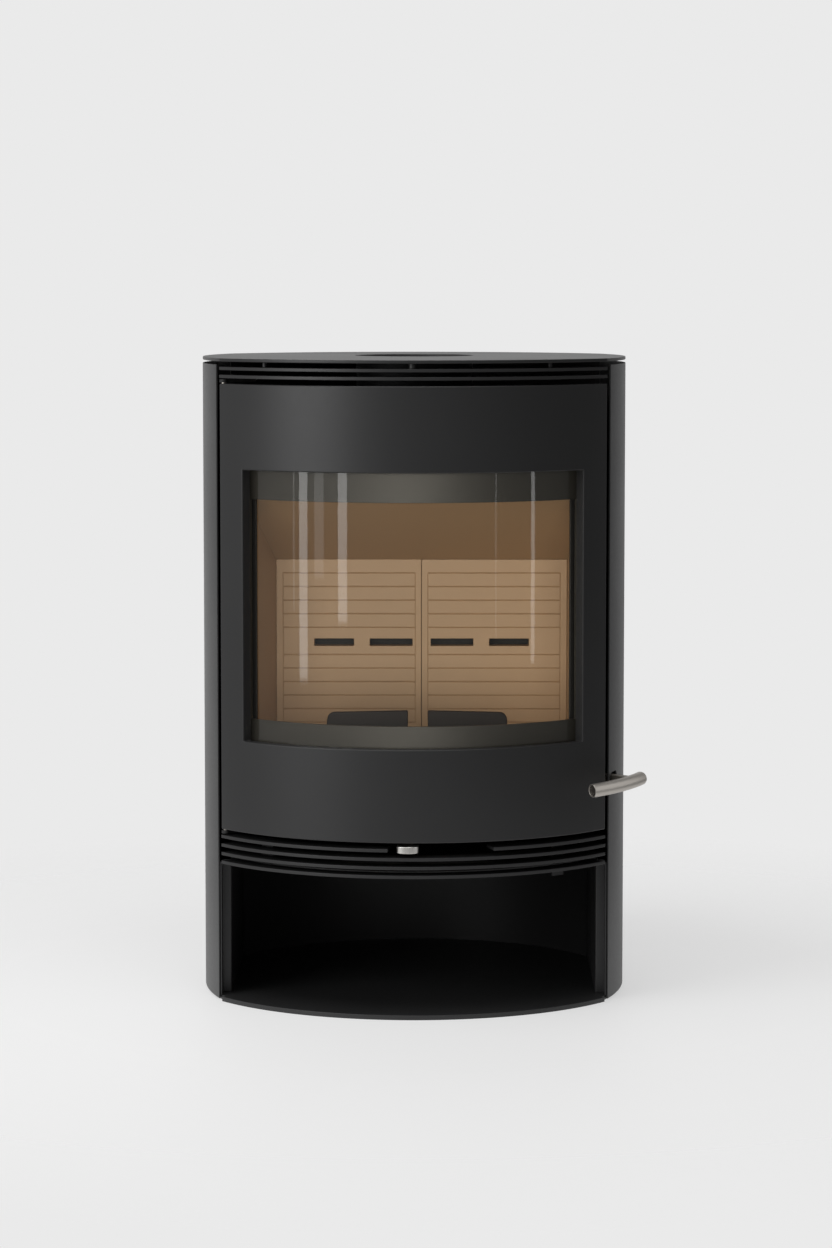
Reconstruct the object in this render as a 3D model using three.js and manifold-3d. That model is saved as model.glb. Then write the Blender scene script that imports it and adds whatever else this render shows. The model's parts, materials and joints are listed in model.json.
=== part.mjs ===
// A free-standing wood burning stove with a near-round plan, a curved glazed door and a log store
// below. Millimetres, +Z up, front facing -Y, origin on the floor under the middle of the body.

import * as THREE from 'three';
import { mergeVertices } from 'three/addons/utils/BufferGeometryUtils.js';
import Module from 'manifold-3d';

const wasm = await Module();
wasm.setup();

// ---------- driving dimensions ----------

const GAP = 0.3;                  // left between pieces that touch

// plan of the body: two arcs of FRONT_RADIUS, front and rear, joined by flatter side arcs
const HALF_WIDTH = 270;
const FRONT_RADIUS = 300;
const FRONT_CENTRE_Y = 30;        // the front arc is struck from here, so its apex is at y = -270
const CORNER_X = 243.3;           // where the front arc and a side arc meet

// heights
const BASE_THICKNESS = 6;
const STORE_TOP = 176;            // underside of the log store's ceiling
const DOOR_BOTTOM = 218.5;
const DOOR_TOP = 776.6;
const PANEL_BOTTOM = 1.5;
const PANEL_TOP = 800;
const TOP_OF_STOVE = 808;
const TOP_THICKNESS = 4;
const LOWER_FIN_Z = [209.3, 198.4, 187.6, 176.7];
const UPPER_FIN_Z = [795.4, 785.5];

// sheet metal
const PANEL_SHEET = 2;
const DOOR_SHEET = 3;
const FIREBOX_SHEET = 3;
const FIN_THICKNESS = 4;
const FIN_DEPTH = 26;

// door
const DOOR_HALF_WIDTH = 240.9;
const DOOR_DEPTH = 15;            // depth of the folds round the door's edge
const WINDOW_HALF_WIDTH = 211;
const WINDOW_BOTTOM = 333.5;
const WINDOW_TOP = 671;
const WINDOW_DEPTH = 12;          // depth of the folds round the window
const GLASS_THICKNESS = 4;
const GLASS_LAP = 9;              // how far the glass reaches past the window
const SIGHT_HALF_WIDTH = 203;     // opening in the inner frame, behind the glass
const SIGHT_BOTTOM = 360;
const SIGHT_TOP = 634;
const HINGE = [-235.2, -147.6];
const PIN_RADIUS = 3;
const PIN_HOLD = 7.5;             // how far each hinge pin reaches into the door

// handle and latch, which turn on an upright shaft behind the right side panel
const SHAFT = [232.3, -108.3];
const SHAFT_RADIUS = 4;
const ARM_Z = [276.5, 284.5];
const ARM_WIDTH = 12;
const ARM_ANGLE = -41.8;          // degrees, seen from above
const ARM_SLOT_Y = [-136, -104];
const ARM_SLOT_Z = [273, 288];
const TUBE_RADIUS = 8.5;
const TUBE_WALL = 1.5;
const TUBE_START = [221.3, -215, 276.1];
const TUBE_END = [285, -149, 283.2];
const TUBE_END_HEADING = 62;      // degrees from +X, seen from above

// air control: a lever that turns about the front arc's centre, with its knob in a gap in a fin
const KNOB_X = -6.2;
const KNOB_WIDTH = 27;
const KNOB_Z = [205.8, 214.2];
const KNOB_SLOT_X = [-30.6, 99.8];
const LEVER_Z = [207.6, 211.6];

// firebox
const FIREBOX_BOTTOM = 222;
const FIREBOX_TOP = 748;
const HEARTH_TOP = 312;
const BOARD = 25;                 // thickness of the lining boards
const SIDE_BOARD = 20;
const BACK_WALL_Y = 95;
const LINING_CENTRE_X = 9;
const LINING_HALF_WIDTH = 191;
const LINING_FRONT_Y = -80;
const FLOOR_FRONT_Y = -126;
const LEFT_SPLAY = 0.13;          // how far each side board opens out, per unit of depth
const RIGHT_SPLAY = 0.05;
const BACK_WALL_TOP = 539;
const BAFFLE_SLOPE = 0.439;       // the lower baffle's rise towards the door, per unit of depth
const UPPER_BAFFLE_Z = [694, 698];
const UPPER_BAFFLE_BACK_Y = 70;
const GRATE_RADIUS = 92;
const GRATE_CENTRE_Y = -10;
const GRATE_LEDGE = 8;            // width of the ledge that the grate's rim rests on

// flue
const FLUE_RADIUS = 75;
const FLUE_CENTRE_Y = 34;

// ---------- derived dimensions ----------

const arcDepth = (radius, x) => Math.sqrt(radius * radius - x * x);
const CORNER_Y = FRONT_CENTRE_Y - arcDepth(FRONT_RADIUS, CORNER_X);
const SIDE_RISE = HALF_WIDTH - CORNER_X;
const SIDE_RADIUS = (CORNER_Y * CORNER_Y + SIDE_RISE * SIDE_RISE) / (2 * SIDE_RISE);
const SIDE_CENTRE_X = HALF_WIDTH - SIDE_RADIUS;
const GLASS_RADIUS = FRONT_RADIUS - WINDOW_DEPTH - 2 - 2 * GAP;
const FRAME_RADIUS = GLASS_RADIUS - GLASS_THICKNESS - GAP;
const FRAME_SHEET = 4;
const FRAME_HALF_WIDTH = 216;
const ROPE_RADIUS = FRAME_RADIUS - FRAME_SHEET - GAP;
const ROPE_DEPTH = 7;
const ROPE_WIDTH = 10;
const FACE_RADIUS = ROPE_RADIUS - ROPE_DEPTH - GAP;
const FACE_HALF_WIDTH = 210;
const TOP_UNDERSIDE = TOP_OF_STOVE - TOP_THICKNESS;

const radians = THREE.MathUtils.degToRad;
const angleAt = (radius, x) => Math.asin(x / radius);
const panelX = (y) => SIDE_CENTRE_X + arcDepth(SIDE_RADIUS, y);

// ---------- solids ----------

function toSolid(geometry) {
  const bare = geometry.index ? geometry.toNonIndexed() : geometry.clone();
  bare.deleteAttribute('normal');
  bare.deleteAttribute('uv');
  const merged = mergeVertices(bare, 1e-4);
  return new wasm.Manifold(new wasm.Mesh({
    numProp: 3,
    vertProperties: new Float32Array(merged.attributes.position.array),
    triVerts: new Uint32Array(merged.index.array),
  }));
}

function toGeometry(solid) {
  const mesh = solid.getMesh();
  const geometry = new THREE.BufferGeometry();
  geometry.setAttribute('position', new THREE.BufferAttribute(mesh.vertProperties, 3));
  geometry.setIndex(new THREE.BufferAttribute(mesh.triVerts, 1));
  return geometry;
}

const join = (...parts) => parts.reduce((whole, part) => whole.add(part));
const cut = (whole, ...tools) => tools.reduce((rest, tool) => rest.subtract(tool), whole);

function block(x, y, z) {
  const geometry = new THREE.BoxGeometry(x[1] - x[0], y[1] - y[0], z[1] - z[0]);
  geometry.translate((x[0] + x[1]) / 2, (y[0] + y[1]) / 2, (z[0] + z[1]) / 2);
  return toSolid(geometry);
}

// the outline's points with those dropped that repeat the one before, as where two arcs meet
function cleanOutline(shape, curveSegments) {
  const points = shape.getPoints(curveSegments);
  return new THREE.Shape(points.filter((point, index) =>
    point.distanceTo(points[(index + points.length - 1) % points.length]) > 1e-3));
}

function prism(shape, z, curveSegments = 12) {
  const options = { depth: z[1] - z[0], bevelEnabled: false };
  const outline = cleanOutline(shape, curveSegments);
  return toSolid(new THREE.ExtrudeGeometry(outline, options).translate(0, 0, z[0]));
}

const polygon = (points) => new THREE.Shape(points.map(([x, y]) => new THREE.Vector2(x, y)));

// an upright drum
function drum(x, y, z, radius, sides = 32) {
  const geometry = new THREE.CylinderGeometry(radius, radius, z[1] - z[0], sides);
  return toSolid(geometry.rotateX(Math.PI / 2).translate(x, y, (z[0] + z[1]) / 2));
}

// a wall that follows the front of the stove, between two radii of the front arc and two angles
// measured from straight ahead (positive towards +X)
function frontArc(outer, inner, angles, z, segments = 12) {
  const [from, to] = angles.map((angle) => angle - Math.PI / 2);
  const shape = new THREE.Shape();
  shape.absarc(0, FRONT_CENTRE_Y, outer, from, to, false);
  shape.absarc(0, FRONT_CENTRE_Y, inner, to, from, true);
  return prism(shape, z, segments);
}

const evenArc = (outer, inner, halfWidth, z, segments) => {
  const angle = angleAt(outer, halfWidth);
  return frontArc(outer, inner, [-angle, angle], z, segments);
};

// a plate of the body's whole plan, drawn in by inset: where two long discs, front and rear, and
// two side discs all overlap
function bodyPlate(inset, z, frontRadius = FRONT_RADIUS) {
  const discs = [[0, FRONT_CENTRE_Y, frontRadius], [0, -FRONT_CENTRE_Y, FRONT_RADIUS],
    [SIDE_CENTRE_X, 0, SIDE_RADIUS], [-SIDE_CENTRE_X, 0, SIDE_RADIUS]];
  return discs.map(([x, y, radius]) => drum(x, y, z, radius - inset, 90))
    .reduce((common, disc) => common.intersect(disc));
}

// ---------- materials ----------

const finish = (color, roughness, metalness) =>
  new THREE.MeshStandardMaterial({ color, roughness, metalness });
const blackPaint = finish(0x2b2b2c, 0.6, 0.2);
const innerSteel = finish(0x1d1d1e, 0.7, 0.3);
const brushedSteel = finish(0xb9b3a8, 0.35, 1);
const castIron = finish(0x2a2927, 0.8, 0.5);
const vermiculite = finish(0xb08a62, 0.95, 0);
const glass = new THREE.MeshStandardMaterial({
  color: 0xcfd3d1, roughness: 0.05, metalness: 0, transparent: true, opacity: 0.25,
});
const rope = finish(0x24231f, 1, 0);

const stove = new THREE.Group();

function piece(name, solid, material) {
  const mesh = new THREE.Mesh(toGeometry(solid), material);
  mesh.name = name;
  stove.add(mesh);
}

// ---------- base, panels and log store ----------

// the base plate runs out to a lip in front and sits inside the panels elsewhere
const BASE_LIP = 2.5;
const BASE_LIP_DEPTH = 40;
const BASE_INSET = 3.3;

function basePlate() {
  const z = [0, BASE_THICKNESS];
  const lip = evenArc(FRONT_RADIUS + BASE_LIP, FRONT_RADIUS - BASE_LIP_DEPTH, DOOR_HALF_WIDTH, z);
  return join(bodyPlate(BASE_INSET, z), lip);
}

// a plain bent sheet whose inner edges, front and rear, stand at CORNER_X
function sidePanel(side) {
  const inner = SIDE_RADIUS - PANEL_SHEET;
  const angle = Math.acos((CORNER_X - SIDE_CENTRE_X) / inner);
  const middle = side > 0 ? 0 : Math.PI;
  const centre = [side * SIDE_CENTRE_X, 0];
  const skin = new THREE.Shape();
  skin.absarc(...centre, SIDE_RADIUS, middle - angle, middle + angle, false);
  skin.absarc(...centre, inner, middle + angle, middle - angle, true);
  return prism(skin, [PANEL_BOTTOM, PANEL_TOP], 8);
}

// a slot with round ends in the right panel lets the handle's arm through
function armSlot() {
  const radius = (ARM_SLOT_Z[1] - ARM_SLOT_Z[0]) / 2;
  const z = (ARM_SLOT_Z[0] + ARM_SLOT_Z[1]) / 2;
  const ends = [ARM_SLOT_Y[0] + radius, ARM_SLOT_Y[1] - radius];
  const x = [panelX(CORNER_Y) + 1, HALF_WIDTH + 1];
  const middle = (x[0] + x[1]) / 2;
  const round = ends.map((y) => {
    const geometry = new THREE.CylinderGeometry(radius, radius, x[1] - x[0], 20);
    return toSolid(geometry.rotateZ(Math.PI / 2).translate(middle, y, z));
  });
  return join(block(x, ends, ARM_SLOT_Z), ...round);
}

// five rows of warm air outlets near the top of the back
const VENT_ROWS = [0, 1, 2, 3, 4];
const VENT_BOTTOM = 730;
const VENT_PITCH = 12;
const VENT_HEIGHT = 5;
const VENT_HALF_WIDTH = 68;         // no wider than the flue collar in front of them

function rearPanel() {
  const angle = angleAt(FRONT_RADIUS, CORNER_X - GAP);
  const shape = new THREE.Shape();
  const up = Math.PI / 2;
  shape.absarc(0, -FRONT_CENTRE_Y, FRONT_RADIUS, up - angle, up + angle, false);
  shape.absarc(0, -FRONT_CENTRE_Y, FRONT_RADIUS - PANEL_SHEET, up + angle, up - angle, true);
  const vents = VENT_ROWS.map((row) => {
    const z = VENT_BOTTOM + row * VENT_PITCH;
    return block([-VENT_HALF_WIDTH, VENT_HALF_WIDTH], [200, 300], [z, z + VENT_HEIGHT]);
  });
  return cut(prism(shape, [BASE_THICKNESS + GAP, PANEL_TOP], 12), ...vents);
}

const STORE_HALF_WIDTH = 230;
const STORE_BACK_RADIUS = 261;
const LINER_SHEET = 1.5;
const JAMB_Y = -120;
const JAMB_SHEET = 2;
const JAMB_RETURN = 22;

// one bent sheet: a round back, two straight sides, and front edges turned out as jambs that fold
// back beside the side panels
function storeLiner() {
  const outline = (outset, front) => {
    const radius = STORE_BACK_RADIUS + outset;
    const halfWidth = STORE_HALF_WIDTH + outset;
    const turn = Math.acos(halfWidth / radius);
    const shape = new THREE.Shape();
    shape.moveTo(halfWidth, front);
    shape.lineTo(halfWidth, arcDepth(radius, halfWidth));
    shape.absarc(0, 0, radius, turn, Math.PI - turn, false);
    shape.lineTo(-halfWidth, front);
    return shape;
  };
  const z = [BASE_THICKNESS + GAP, STORE_TOP - GAP];
  const outside = prism(outline(LINER_SHEET, JAMB_Y - JAMB_SHEET), z, 14);
  const inside = prism(outline(0, JAMB_Y - 10), [z[0] - 1, z[1] + 1], 14);
  const outer = CORNER_X - GAP;
  const jambZ = [z[0], LOWER_FIN_Z[3] - FIN_THICKNESS / 2 - 1];
  const jambs = [-1, 1].map((side) => {
    const span = (near, far) => [side * near, side * far].sort((a, b) => a - b);
    const face = block(span(STORE_HALF_WIDTH - 2, outer), [JAMB_Y - JAMB_SHEET, JAMB_Y], jambZ);
    const fold = block(span(outer - JAMB_SHEET, outer), [JAMB_Y - JAMB_RETURN, JAMB_Y], jambZ);
    return join(face, fold);
  });
  return join(cut(outside, inside), ...jambs);
}

const CEILING_SHEET = 3;
const CEILING_INSET = 7;

const storeCeiling = () =>
  bodyPlate(CEILING_INSET, [STORE_TOP, STORE_TOP + CEILING_SHEET], FRONT_RADIUS - FIN_DEPTH);

piece('base_plate', basePlate(), blackPaint);
piece('side_panel_left', sidePanel(-1), blackPaint);
piece('side_panel_right', cut(sidePanel(1), armSlot()), blackPaint);
piece('rear_panel', rearPanel(), blackPaint);
piece('store_liner', storeLiner(), blackPaint);
piece('store_ceiling', storeCeiling(), innerSteel);

// ---------- fins and top plate ----------

const FIN_HALF_WIDTH = DOOR_HALF_WIDTH;
const FIN_RADIUS = FRONT_RADIUS + 0.5;
const BRACKET_X = [-182, 181];
const BRACKET_HALF_WIDTH = 7;
const BRACKET_SHEET = 2.5;
const TONGUE_SETBACK = 8;
const TONGUE_DROP = 13;
const TOP_POSTS = [
  { side: 'left', x: -182, radius: 2.6 },
  { side: 'middle', x: 0, radius: 4.5 },
  { side: 'right', x: 168, radius: 2.6 },
];
const POST_SETBACK = 9;

const finZ = (z) => [z - FIN_THICKNESS / 2, z + FIN_THICKNESS / 2];

// a fin between two points across the front
function fin(z, from = -FIN_HALF_WIDTH, to = FIN_HALF_WIDTH) {
  const angles = [angleAt(FIN_RADIUS, from), angleAt(FIN_RADIUS, to)];
  return frontArc(FIN_RADIUS, FIN_RADIUS - FIN_DEPTH, angles, finZ(z), 12);
}

const onFront = (radius, x) => [x, FRONT_CENTRE_Y - arcDepth(radius, x)];

// a strip of the front's curve, a little way behind the fins, centred on a point across the front
function backStrip(setback, x, z) {
  const radius = FIN_RADIUS - FIN_DEPTH - setback;
  const angles = [angleAt(radius, x - BRACKET_HALF_WIDTH), angleAt(radius, x + BRACKET_HALF_WIDTH)];
  return frontArc(radius, radius - BRACKET_SHEET, angles, z, 1);
}

// an upright strip behind the lower fins that carries them
const finBracket = (x) =>
  backStrip(GAP, x, [STORE_TOP + CEILING_SHEET + GAP, LOWER_FIN_Z[0] + FIN_THICKNESS / 2]);

// a tongue that hangs from the log store's ceiling just behind the last fin
const ceilingTongue = () =>
  backStrip(TONGUE_SETBACK, BRACKET_X[1], [STORE_TOP - TONGUE_DROP, STORE_TOP - GAP]);

// short pins that hold the top plate up over the fins
function topPost(x, radius) {
  const z = [UPPER_FIN_Z[0] + FIN_THICKNESS / 2 + GAP, TOP_UNDERSIDE - GAP];
  return drum(...onFront(FIN_RADIUS - POST_SETBACK, x), z, radius, 16);
}

const TOP_LIP = 2;
const FLUE_CLEARANCE = 2;
const FLUE_WALL = 3;
const FLUE_FOOT = [14, 4];         // width and thickness of the socket's foot
const FLUE_RIM_DROP = 1.5;

function topPlate() {
  const radius = FLUE_RADIUS + FLUE_CLEARANCE;
  const hole = drum(0, FLUE_CENTRE_Y, [TOP_UNDERSIDE - 1, TOP_OF_STOVE + 1], radius, 48);
  return cut(bodyPlate(0, [TOP_UNDERSIDE, TOP_OF_STOVE], FRONT_RADIUS + TOP_LIP), hole);
}

// the flue pipe's socket, standing on the firebox with its rim just below the top plate's face
function flueCollar() {
  const z = [FIREBOX_TOP + GAP, TOP_OF_STOVE - FLUE_RIM_DROP];
  const wall = drum(0, FLUE_CENTRE_Y, z, FLUE_RADIUS, 48);
  const foot = drum(0, FLUE_CENTRE_Y, [z[0], z[0] + FLUE_FOOT[1]], FLUE_RADIUS + FLUE_FOOT[0], 48);
  const way = drum(0, FLUE_CENTRE_Y, [z[0] - 1, z[1] + 1], FLUE_RADIUS - FLUE_WALL, 48);
  return cut(join(wall, foot), way);
}

UPPER_FIN_Z.forEach((z, index) => piece(`upper_fin_${index + 1}`, fin(z), blackPaint));
TOP_POSTS.forEach(({ side, x, radius }) => piece(`top_post_${side}`, topPost(x, radius), blackPaint));
piece('lower_fin_1_left', fin(LOWER_FIN_Z[0], -FIN_HALF_WIDTH, KNOB_SLOT_X[0]), blackPaint);
piece('lower_fin_1_right', fin(LOWER_FIN_Z[0], KNOB_SLOT_X[1], FIN_HALF_WIDTH), blackPaint);
LOWER_FIN_Z.slice(1).forEach((z, index) => piece(`lower_fin_${index + 2}`, fin(z), blackPaint));
piece('fin_bracket_left', finBracket(BRACKET_X[0]), innerSteel);
piece('fin_bracket_right', finBracket(BRACKET_X[1]), innerSteel);
piece('ceiling_tongue', ceilingTongue(), innerSteel);
piece('top_plate', topPlate(), blackPaint);
piece('flue_collar', flueCollar(), innerSteel);

// ---------- firebox ----------

const SHELL_LEFT = -231;
const SHELL_RIGHT = 234;
const SHELL_BACK_Y = 150;
const SHELL_CORNER = [200, 120];   // where the back's cut corners start and end
const SHELL_CHEEK_Y = -85;
const SHELL_FRONT = onFront(FACE_RADIUS - FIREBOX_SHEET, FACE_HALF_WIDTH);
const AIR_PORT_X = 30;
const AIR_PORT_RADIUS = 16;
const PIVOT_RADIUS = 5;

// the firebox's wall in plan: cheeks that close in to the front face, sides, and a back with
// cut corners
function shellOutline(inset) {
  const [frontX, frontY] = SHELL_FRONT;
  const [cornerX, cornerY] = SHELL_CORNER;
  const mitre = inset / 2;
  return polygon([
    [frontX - inset, frontY - inset], [SHELL_RIGHT - inset, SHELL_CHEEK_Y - mitre],
    [SHELL_RIGHT - inset, cornerY - mitre], [cornerX - mitre, SHELL_BACK_Y - inset],
    [-cornerX + mitre, SHELL_BACK_Y - inset], [SHELL_LEFT + inset, cornerY - mitre],
    [SHELL_LEFT + inset, SHELL_CHEEK_Y - mitre], [-frontX + inset, frontY - inset],
  ]);
}

function fireboxShell() {
  const z = [FIREBOX_BOTTOM + FIREBOX_SHEET + GAP, FIREBOX_TOP - FIREBOX_SHEET - GAP];
  const through = [z[0] - 1, z[1] + 1];
  const halfMouth = FACE_HALF_WIDTH - 6;
  const mouth = block([-halfMouth, halfMouth], [-200, SHELL_FRONT[1] + 9], through);
  return cut(prism(shellOutline(0), z), prism(shellOutline(FIREBOX_SHEET), through), mouth);
}

function fireboxBottom() {
  const z = [FIREBOX_BOTTOM, FIREBOX_BOTTOM + FIREBOX_SHEET];
  const through = [z[0] - 1, z[1] + 1];
  const pivotHole = drum(0, FRONT_CENTRE_Y, through, PIVOT_RADIUS + GAP, 20);
  const ports = [-AIR_PORT_X, AIR_PORT_X].map((x) =>
    drum(x, FRONT_CENTRE_Y, through, AIR_PORT_RADIUS, 24));
  return cut(prism(shellOutline(0), z), pivotHole, ...ports);
}

function fireboxTop() {
  const z = [FIREBOX_TOP - FIREBOX_SHEET, FIREBOX_TOP];
  const outlet = drum(0, FLUE_CENTRE_Y, [z[0] - 1, z[1] + 1], FLUE_RADIUS - FLUE_WALL, 48);
  return cut(prism(shellOutline(0), z), outlet);
}

const FIRE_OPENING_HALF_WIDTH = 196;
const FIRE_OPENING_Z = [FIREBOX_BOTTOM + 12, 700];

// the curved face that the door's rope seals against
function fireboxFace() {
  const z = [FIREBOX_BOTTOM, FIREBOX_TOP];
  const wall = evenArc(FACE_RADIUS, FACE_RADIUS - FIREBOX_SHEET + GAP, FACE_HALF_WIDTH, z);
  const opening = evenArc(FACE_RADIUS + 5, FACE_RADIUS - 20, FIRE_OPENING_HALF_WIDTH, FIRE_OPENING_Z);
  return cut(wall, opening);
}

// the steel floor over the ash pan
function hearthPlate() {
  const z = [HEARTH_TOP - BOARD - FIREBOX_SHEET - GAP, HEARTH_TOP - BOARD - GAP];
  const x = [SHELL_LEFT + FIREBOX_SHEET + 1, SHELL_RIGHT - FIREBOX_SHEET - 1];
  const hole = drum(0, GRATE_CENTRE_Y, [z[0] - 1, z[1] + 1], GRATE_RADIUS - GRATE_LEDGE, 40);
  return cut(block(x, [LINING_FRONT_Y, BACK_WALL_Y + 20], z), hole);
}

const liningLeft = LINING_CENTRE_X - LINING_HALF_WIDTH;
const liningRight = LINING_CENTRE_X + LINING_HALF_WIDTH;
const AIR_SLOT_Z = [425.5, 435];
const AIR_SLOTS = [[12, 68], [89, 141]];   // measured each way from the middle of the back wall

// half of the back wall, with two air slots right through it and its top cut to carry the baffle
function backBoard(side) {
  const x = side < 0 ? [liningLeft, LINING_CENTRE_X - GAP] : [LINING_CENTRE_X + GAP, liningRight];
  const y = [BACK_WALL_Y, BACK_WALL_Y + BOARD];
  const slots = AIR_SLOTS.map(([near, far]) => {
    const ends = [side * near, side * far].sort((a, b) => a - b);
    return block(ends.map((end) => LINING_CENTRE_X + end), [y[0] - 1, y[1] + 1], AIR_SLOT_Z);
  });
  const board = block(x, y, [HEARTH_TOP + GAP, BACK_WALL_TOP + 6]);
  return cut(board, slopedSlab(GAP, 300), ...slots);
}

// underside of the baffle at a given depth
const baffleZ = (y) => BACK_WALL_TOP + GAP + (BACK_WALL_Y - y) * BAFFLE_SLOPE;

// a side board, splayed in plan, with its top edge cut to carry the baffle
function sideBoard(side) {
  const splay = side < 0 ? LEFT_SPLAY : RIGHT_SPLAY;
  const back = BACK_WALL_Y + BOARD;
  const face = side < 0 ? liningLeft - GAP : liningRight + GAP;
  const frontFace = face + side * splay * (BACK_WALL_Y - LINING_FRONT_Y);
  const outward = side * SIDE_BOARD;
  const plan = [[face, back], [face, BACK_WALL_Y], [frontFace, LINING_FRONT_Y],
    [frontFace + outward, LINING_FRONT_Y], [face + outward, BACK_WALL_Y], [face + outward, back]];
  const board = prism(polygon(side > 0 ? plan.reverse() : plan), [HEARTH_TOP + GAP, 700]);
  return cut(board, slopedSlab(GAP, 300));
}

// everything between two heights above the baffle's underside, over the whole width
function slopedSlab(from, to, x = [-300, 300], y = [-200, 200]) {
  const side = polygon([[y[0], baffleZ(y[0]) + from], [y[1], baffleZ(y[1]) + from],
    [y[1], baffleZ(y[1]) + to], [y[0], baffleZ(y[0]) + to]]);
  const geometry = new THREE.ExtrudeGeometry(side, { depth: x[1] - x[0], bevelEnabled: false });
  geometry.rotateX(Math.PI / 2).rotateZ(Math.PI / 2).translate(x[0], 0, 0);
  return toSolid(geometry);
}

function lowerBaffle() {
  const x = [SHELL_LEFT + 6, SHELL_RIGHT - 6];
  const slab = slopedSlab(2 * GAP, BOARD, x, [LINING_FRONT_Y - 40, BACK_WALL_Y + BOARD]);
  return slab.intersect(prism(shellOutline(FIREBOX_SHEET + 2), [HEARTH_TOP, FIREBOX_TOP]));
}

// a flat plate over the lower baffle, open behind
const upperBaffle = () =>
  block([SHELL_LEFT + 6, SHELL_RIGHT - 6], [LINING_FRONT_Y, UPPER_BAFFLE_BACK_Y], UPPER_BAFFLE_Z);

// the floor of the fire, in two boards either side of the grate
function floorBoard(side) {
  const outer = side < 0 ? liningLeft - 12 : liningRight + 12;
  const x = [side * GAP, outer].sort((a, b) => a - b);
  const z = [HEARTH_TOP - BOARD, HEARTH_TOP];
  const well = drum(0, GRATE_CENTRE_Y, [z[0] - 1, z[1] + 1], GRATE_RADIUS + 1, 40);
  return cut(block(x, [FLOOR_FRONT_Y, BACK_WALL_Y + BOARD], z), well);
}

const GRATE_GAPS = [-4, -3, -2, -1, 0, 1, 2, 3, 4];
const GRATE_PITCH = 16;
const GRATE_HALF_GAP = 4;
const GRATE_THICKNESS = 14;

// a round cast grate with parallel bars
function grate() {
  const z = [HEARTH_TOP - BOARD + GAP, HEARTH_TOP - BOARD + GRATE_THICKNESS];
  const gaps = GRATE_GAPS.map((index) => {
    const x = index * GRATE_PITCH;
    const reach = arcDepth(GRATE_RADIUS - 14, x);
    const y = [GRATE_CENTRE_Y - reach, GRATE_CENTRE_Y + reach];
    return block([x - GRATE_HALF_GAP, x + GRATE_HALF_GAP], y, [z[0] - 1, z[1] + 1]);
  });
  return cut(drum(0, GRATE_CENTRE_Y, z, GRATE_RADIUS, 40), ...gaps);
}

const GUARD_TOP = 364.7;
const GUARD_THICKNESS = 10;
const GUARD_BACK_Y = -112;

// a cast guard that stops logs rolling against the glass; the outer top corner is rounded
function logGuard(side) {
  const [inner, outer] = side < 0 ? [-7, -110] : [18, 119];
  const top = GUARD_TOP;
  const shape = new THREE.Shape();
  shape.moveTo(inner, HEARTH_TOP + GAP);
  shape.lineTo(outer, HEARTH_TOP + GAP);
  shape.lineTo(outer + side * -1, top - 12);
  shape.quadraticCurveTo(outer - side * 2, top - 3, outer - side * 10, top - 2);
  shape.lineTo(inner, top);
  const options = { depth: GUARD_THICKNESS, bevelEnabled: false, curveSegments: 6 };
  const geometry = new THREE.ExtrudeGeometry(shape, options);
  return toSolid(geometry.rotateX(Math.PI / 2).translate(0, GUARD_BACK_Y, 0));
}

// a folded tray that carries the ash, with a lip to pull it by
function ashPan() {
  const wall = 2;
  const x = [-150, 150];
  const y = [-170, 120];
  const z = [FIREBOX_BOTTOM + FIREBOX_SHEET + GAP, 275];
  const hollow = block([x[0] + wall, x[1] - wall], [y[0] + wall, y[1] - wall], [z[0] + wall, z[1] + 1]);
  const lip = block([-45, 45], [y[0] - 14, y[0] + 1], [z[1] - 10 - wall, z[1] - 10]);
  return join(cut(block(x, y, z), hollow), lip);
}

// a shallow duct behind the back wall that feeds its air slots
function airDuct() {
  const wall = 2;
  const x = [LINING_CENTRE_X - 160, LINING_CENTRE_X + 160];
  const y = [BACK_WALL_Y + BOARD + GAP, SHELL_BACK_Y - FIREBOX_SHEET - GAP];
  const z = [260, 460];
  const insideY = [y[0] - 1, y[1] - wall];
  const hollow = block([x[0] + wall, x[1] - wall], insideY, [z[0] + 20, z[1] - wall]);
  const inlet = block([-60, 60], insideY, [z[0] - 1, z[0] + 30]);
  return cut(block(x, y, z), hollow, inlet);
}

piece('firebox_shell', fireboxShell(), innerSteel);
piece('firebox_bottom', fireboxBottom(), innerSteel);
piece('firebox_top', fireboxTop(), innerSteel);
piece('firebox_face', fireboxFace(), innerSteel);
piece('hearth_plate', hearthPlate(), innerSteel);
piece('back_board_left', backBoard(-1), vermiculite);
piece('back_board_right', backBoard(1), vermiculite);
piece('side_board_left', sideBoard(-1), vermiculite);
piece('side_board_right', sideBoard(1), vermiculite);
piece('floor_board_left', floorBoard(-1), vermiculite);
piece('floor_board_right', floorBoard(1), vermiculite);
piece('lower_baffle', lowerBaffle(), vermiculite);
piece('upper_baffle', upperBaffle(), innerSteel);
piece('grate', grate(), castIron);
piece('log_guard_left', logGuard(-1), castIron);
piece('log_guard_right', logGuard(1), castIron);
piece('ash_pan', ashPan(), innerSteel);
piece('air_duct', airDuct(), innerSteel);

// ---------- door ----------

const FOLD_ANGLE = DOOR_SHEET / FRONT_RADIUS;
const WINDOW_ANGLE = angleAt(FRONT_RADIUS, WINDOW_HALF_WIDTH);
const DOOR_ANGLE = angleAt(FRONT_RADIUS, DOOR_HALF_WIDTH);
const even = (angle) => [-angle, angle];

const hingeHole = (z) => drum(...HINGE, z, PIN_RADIUS + GAP, 24);

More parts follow.
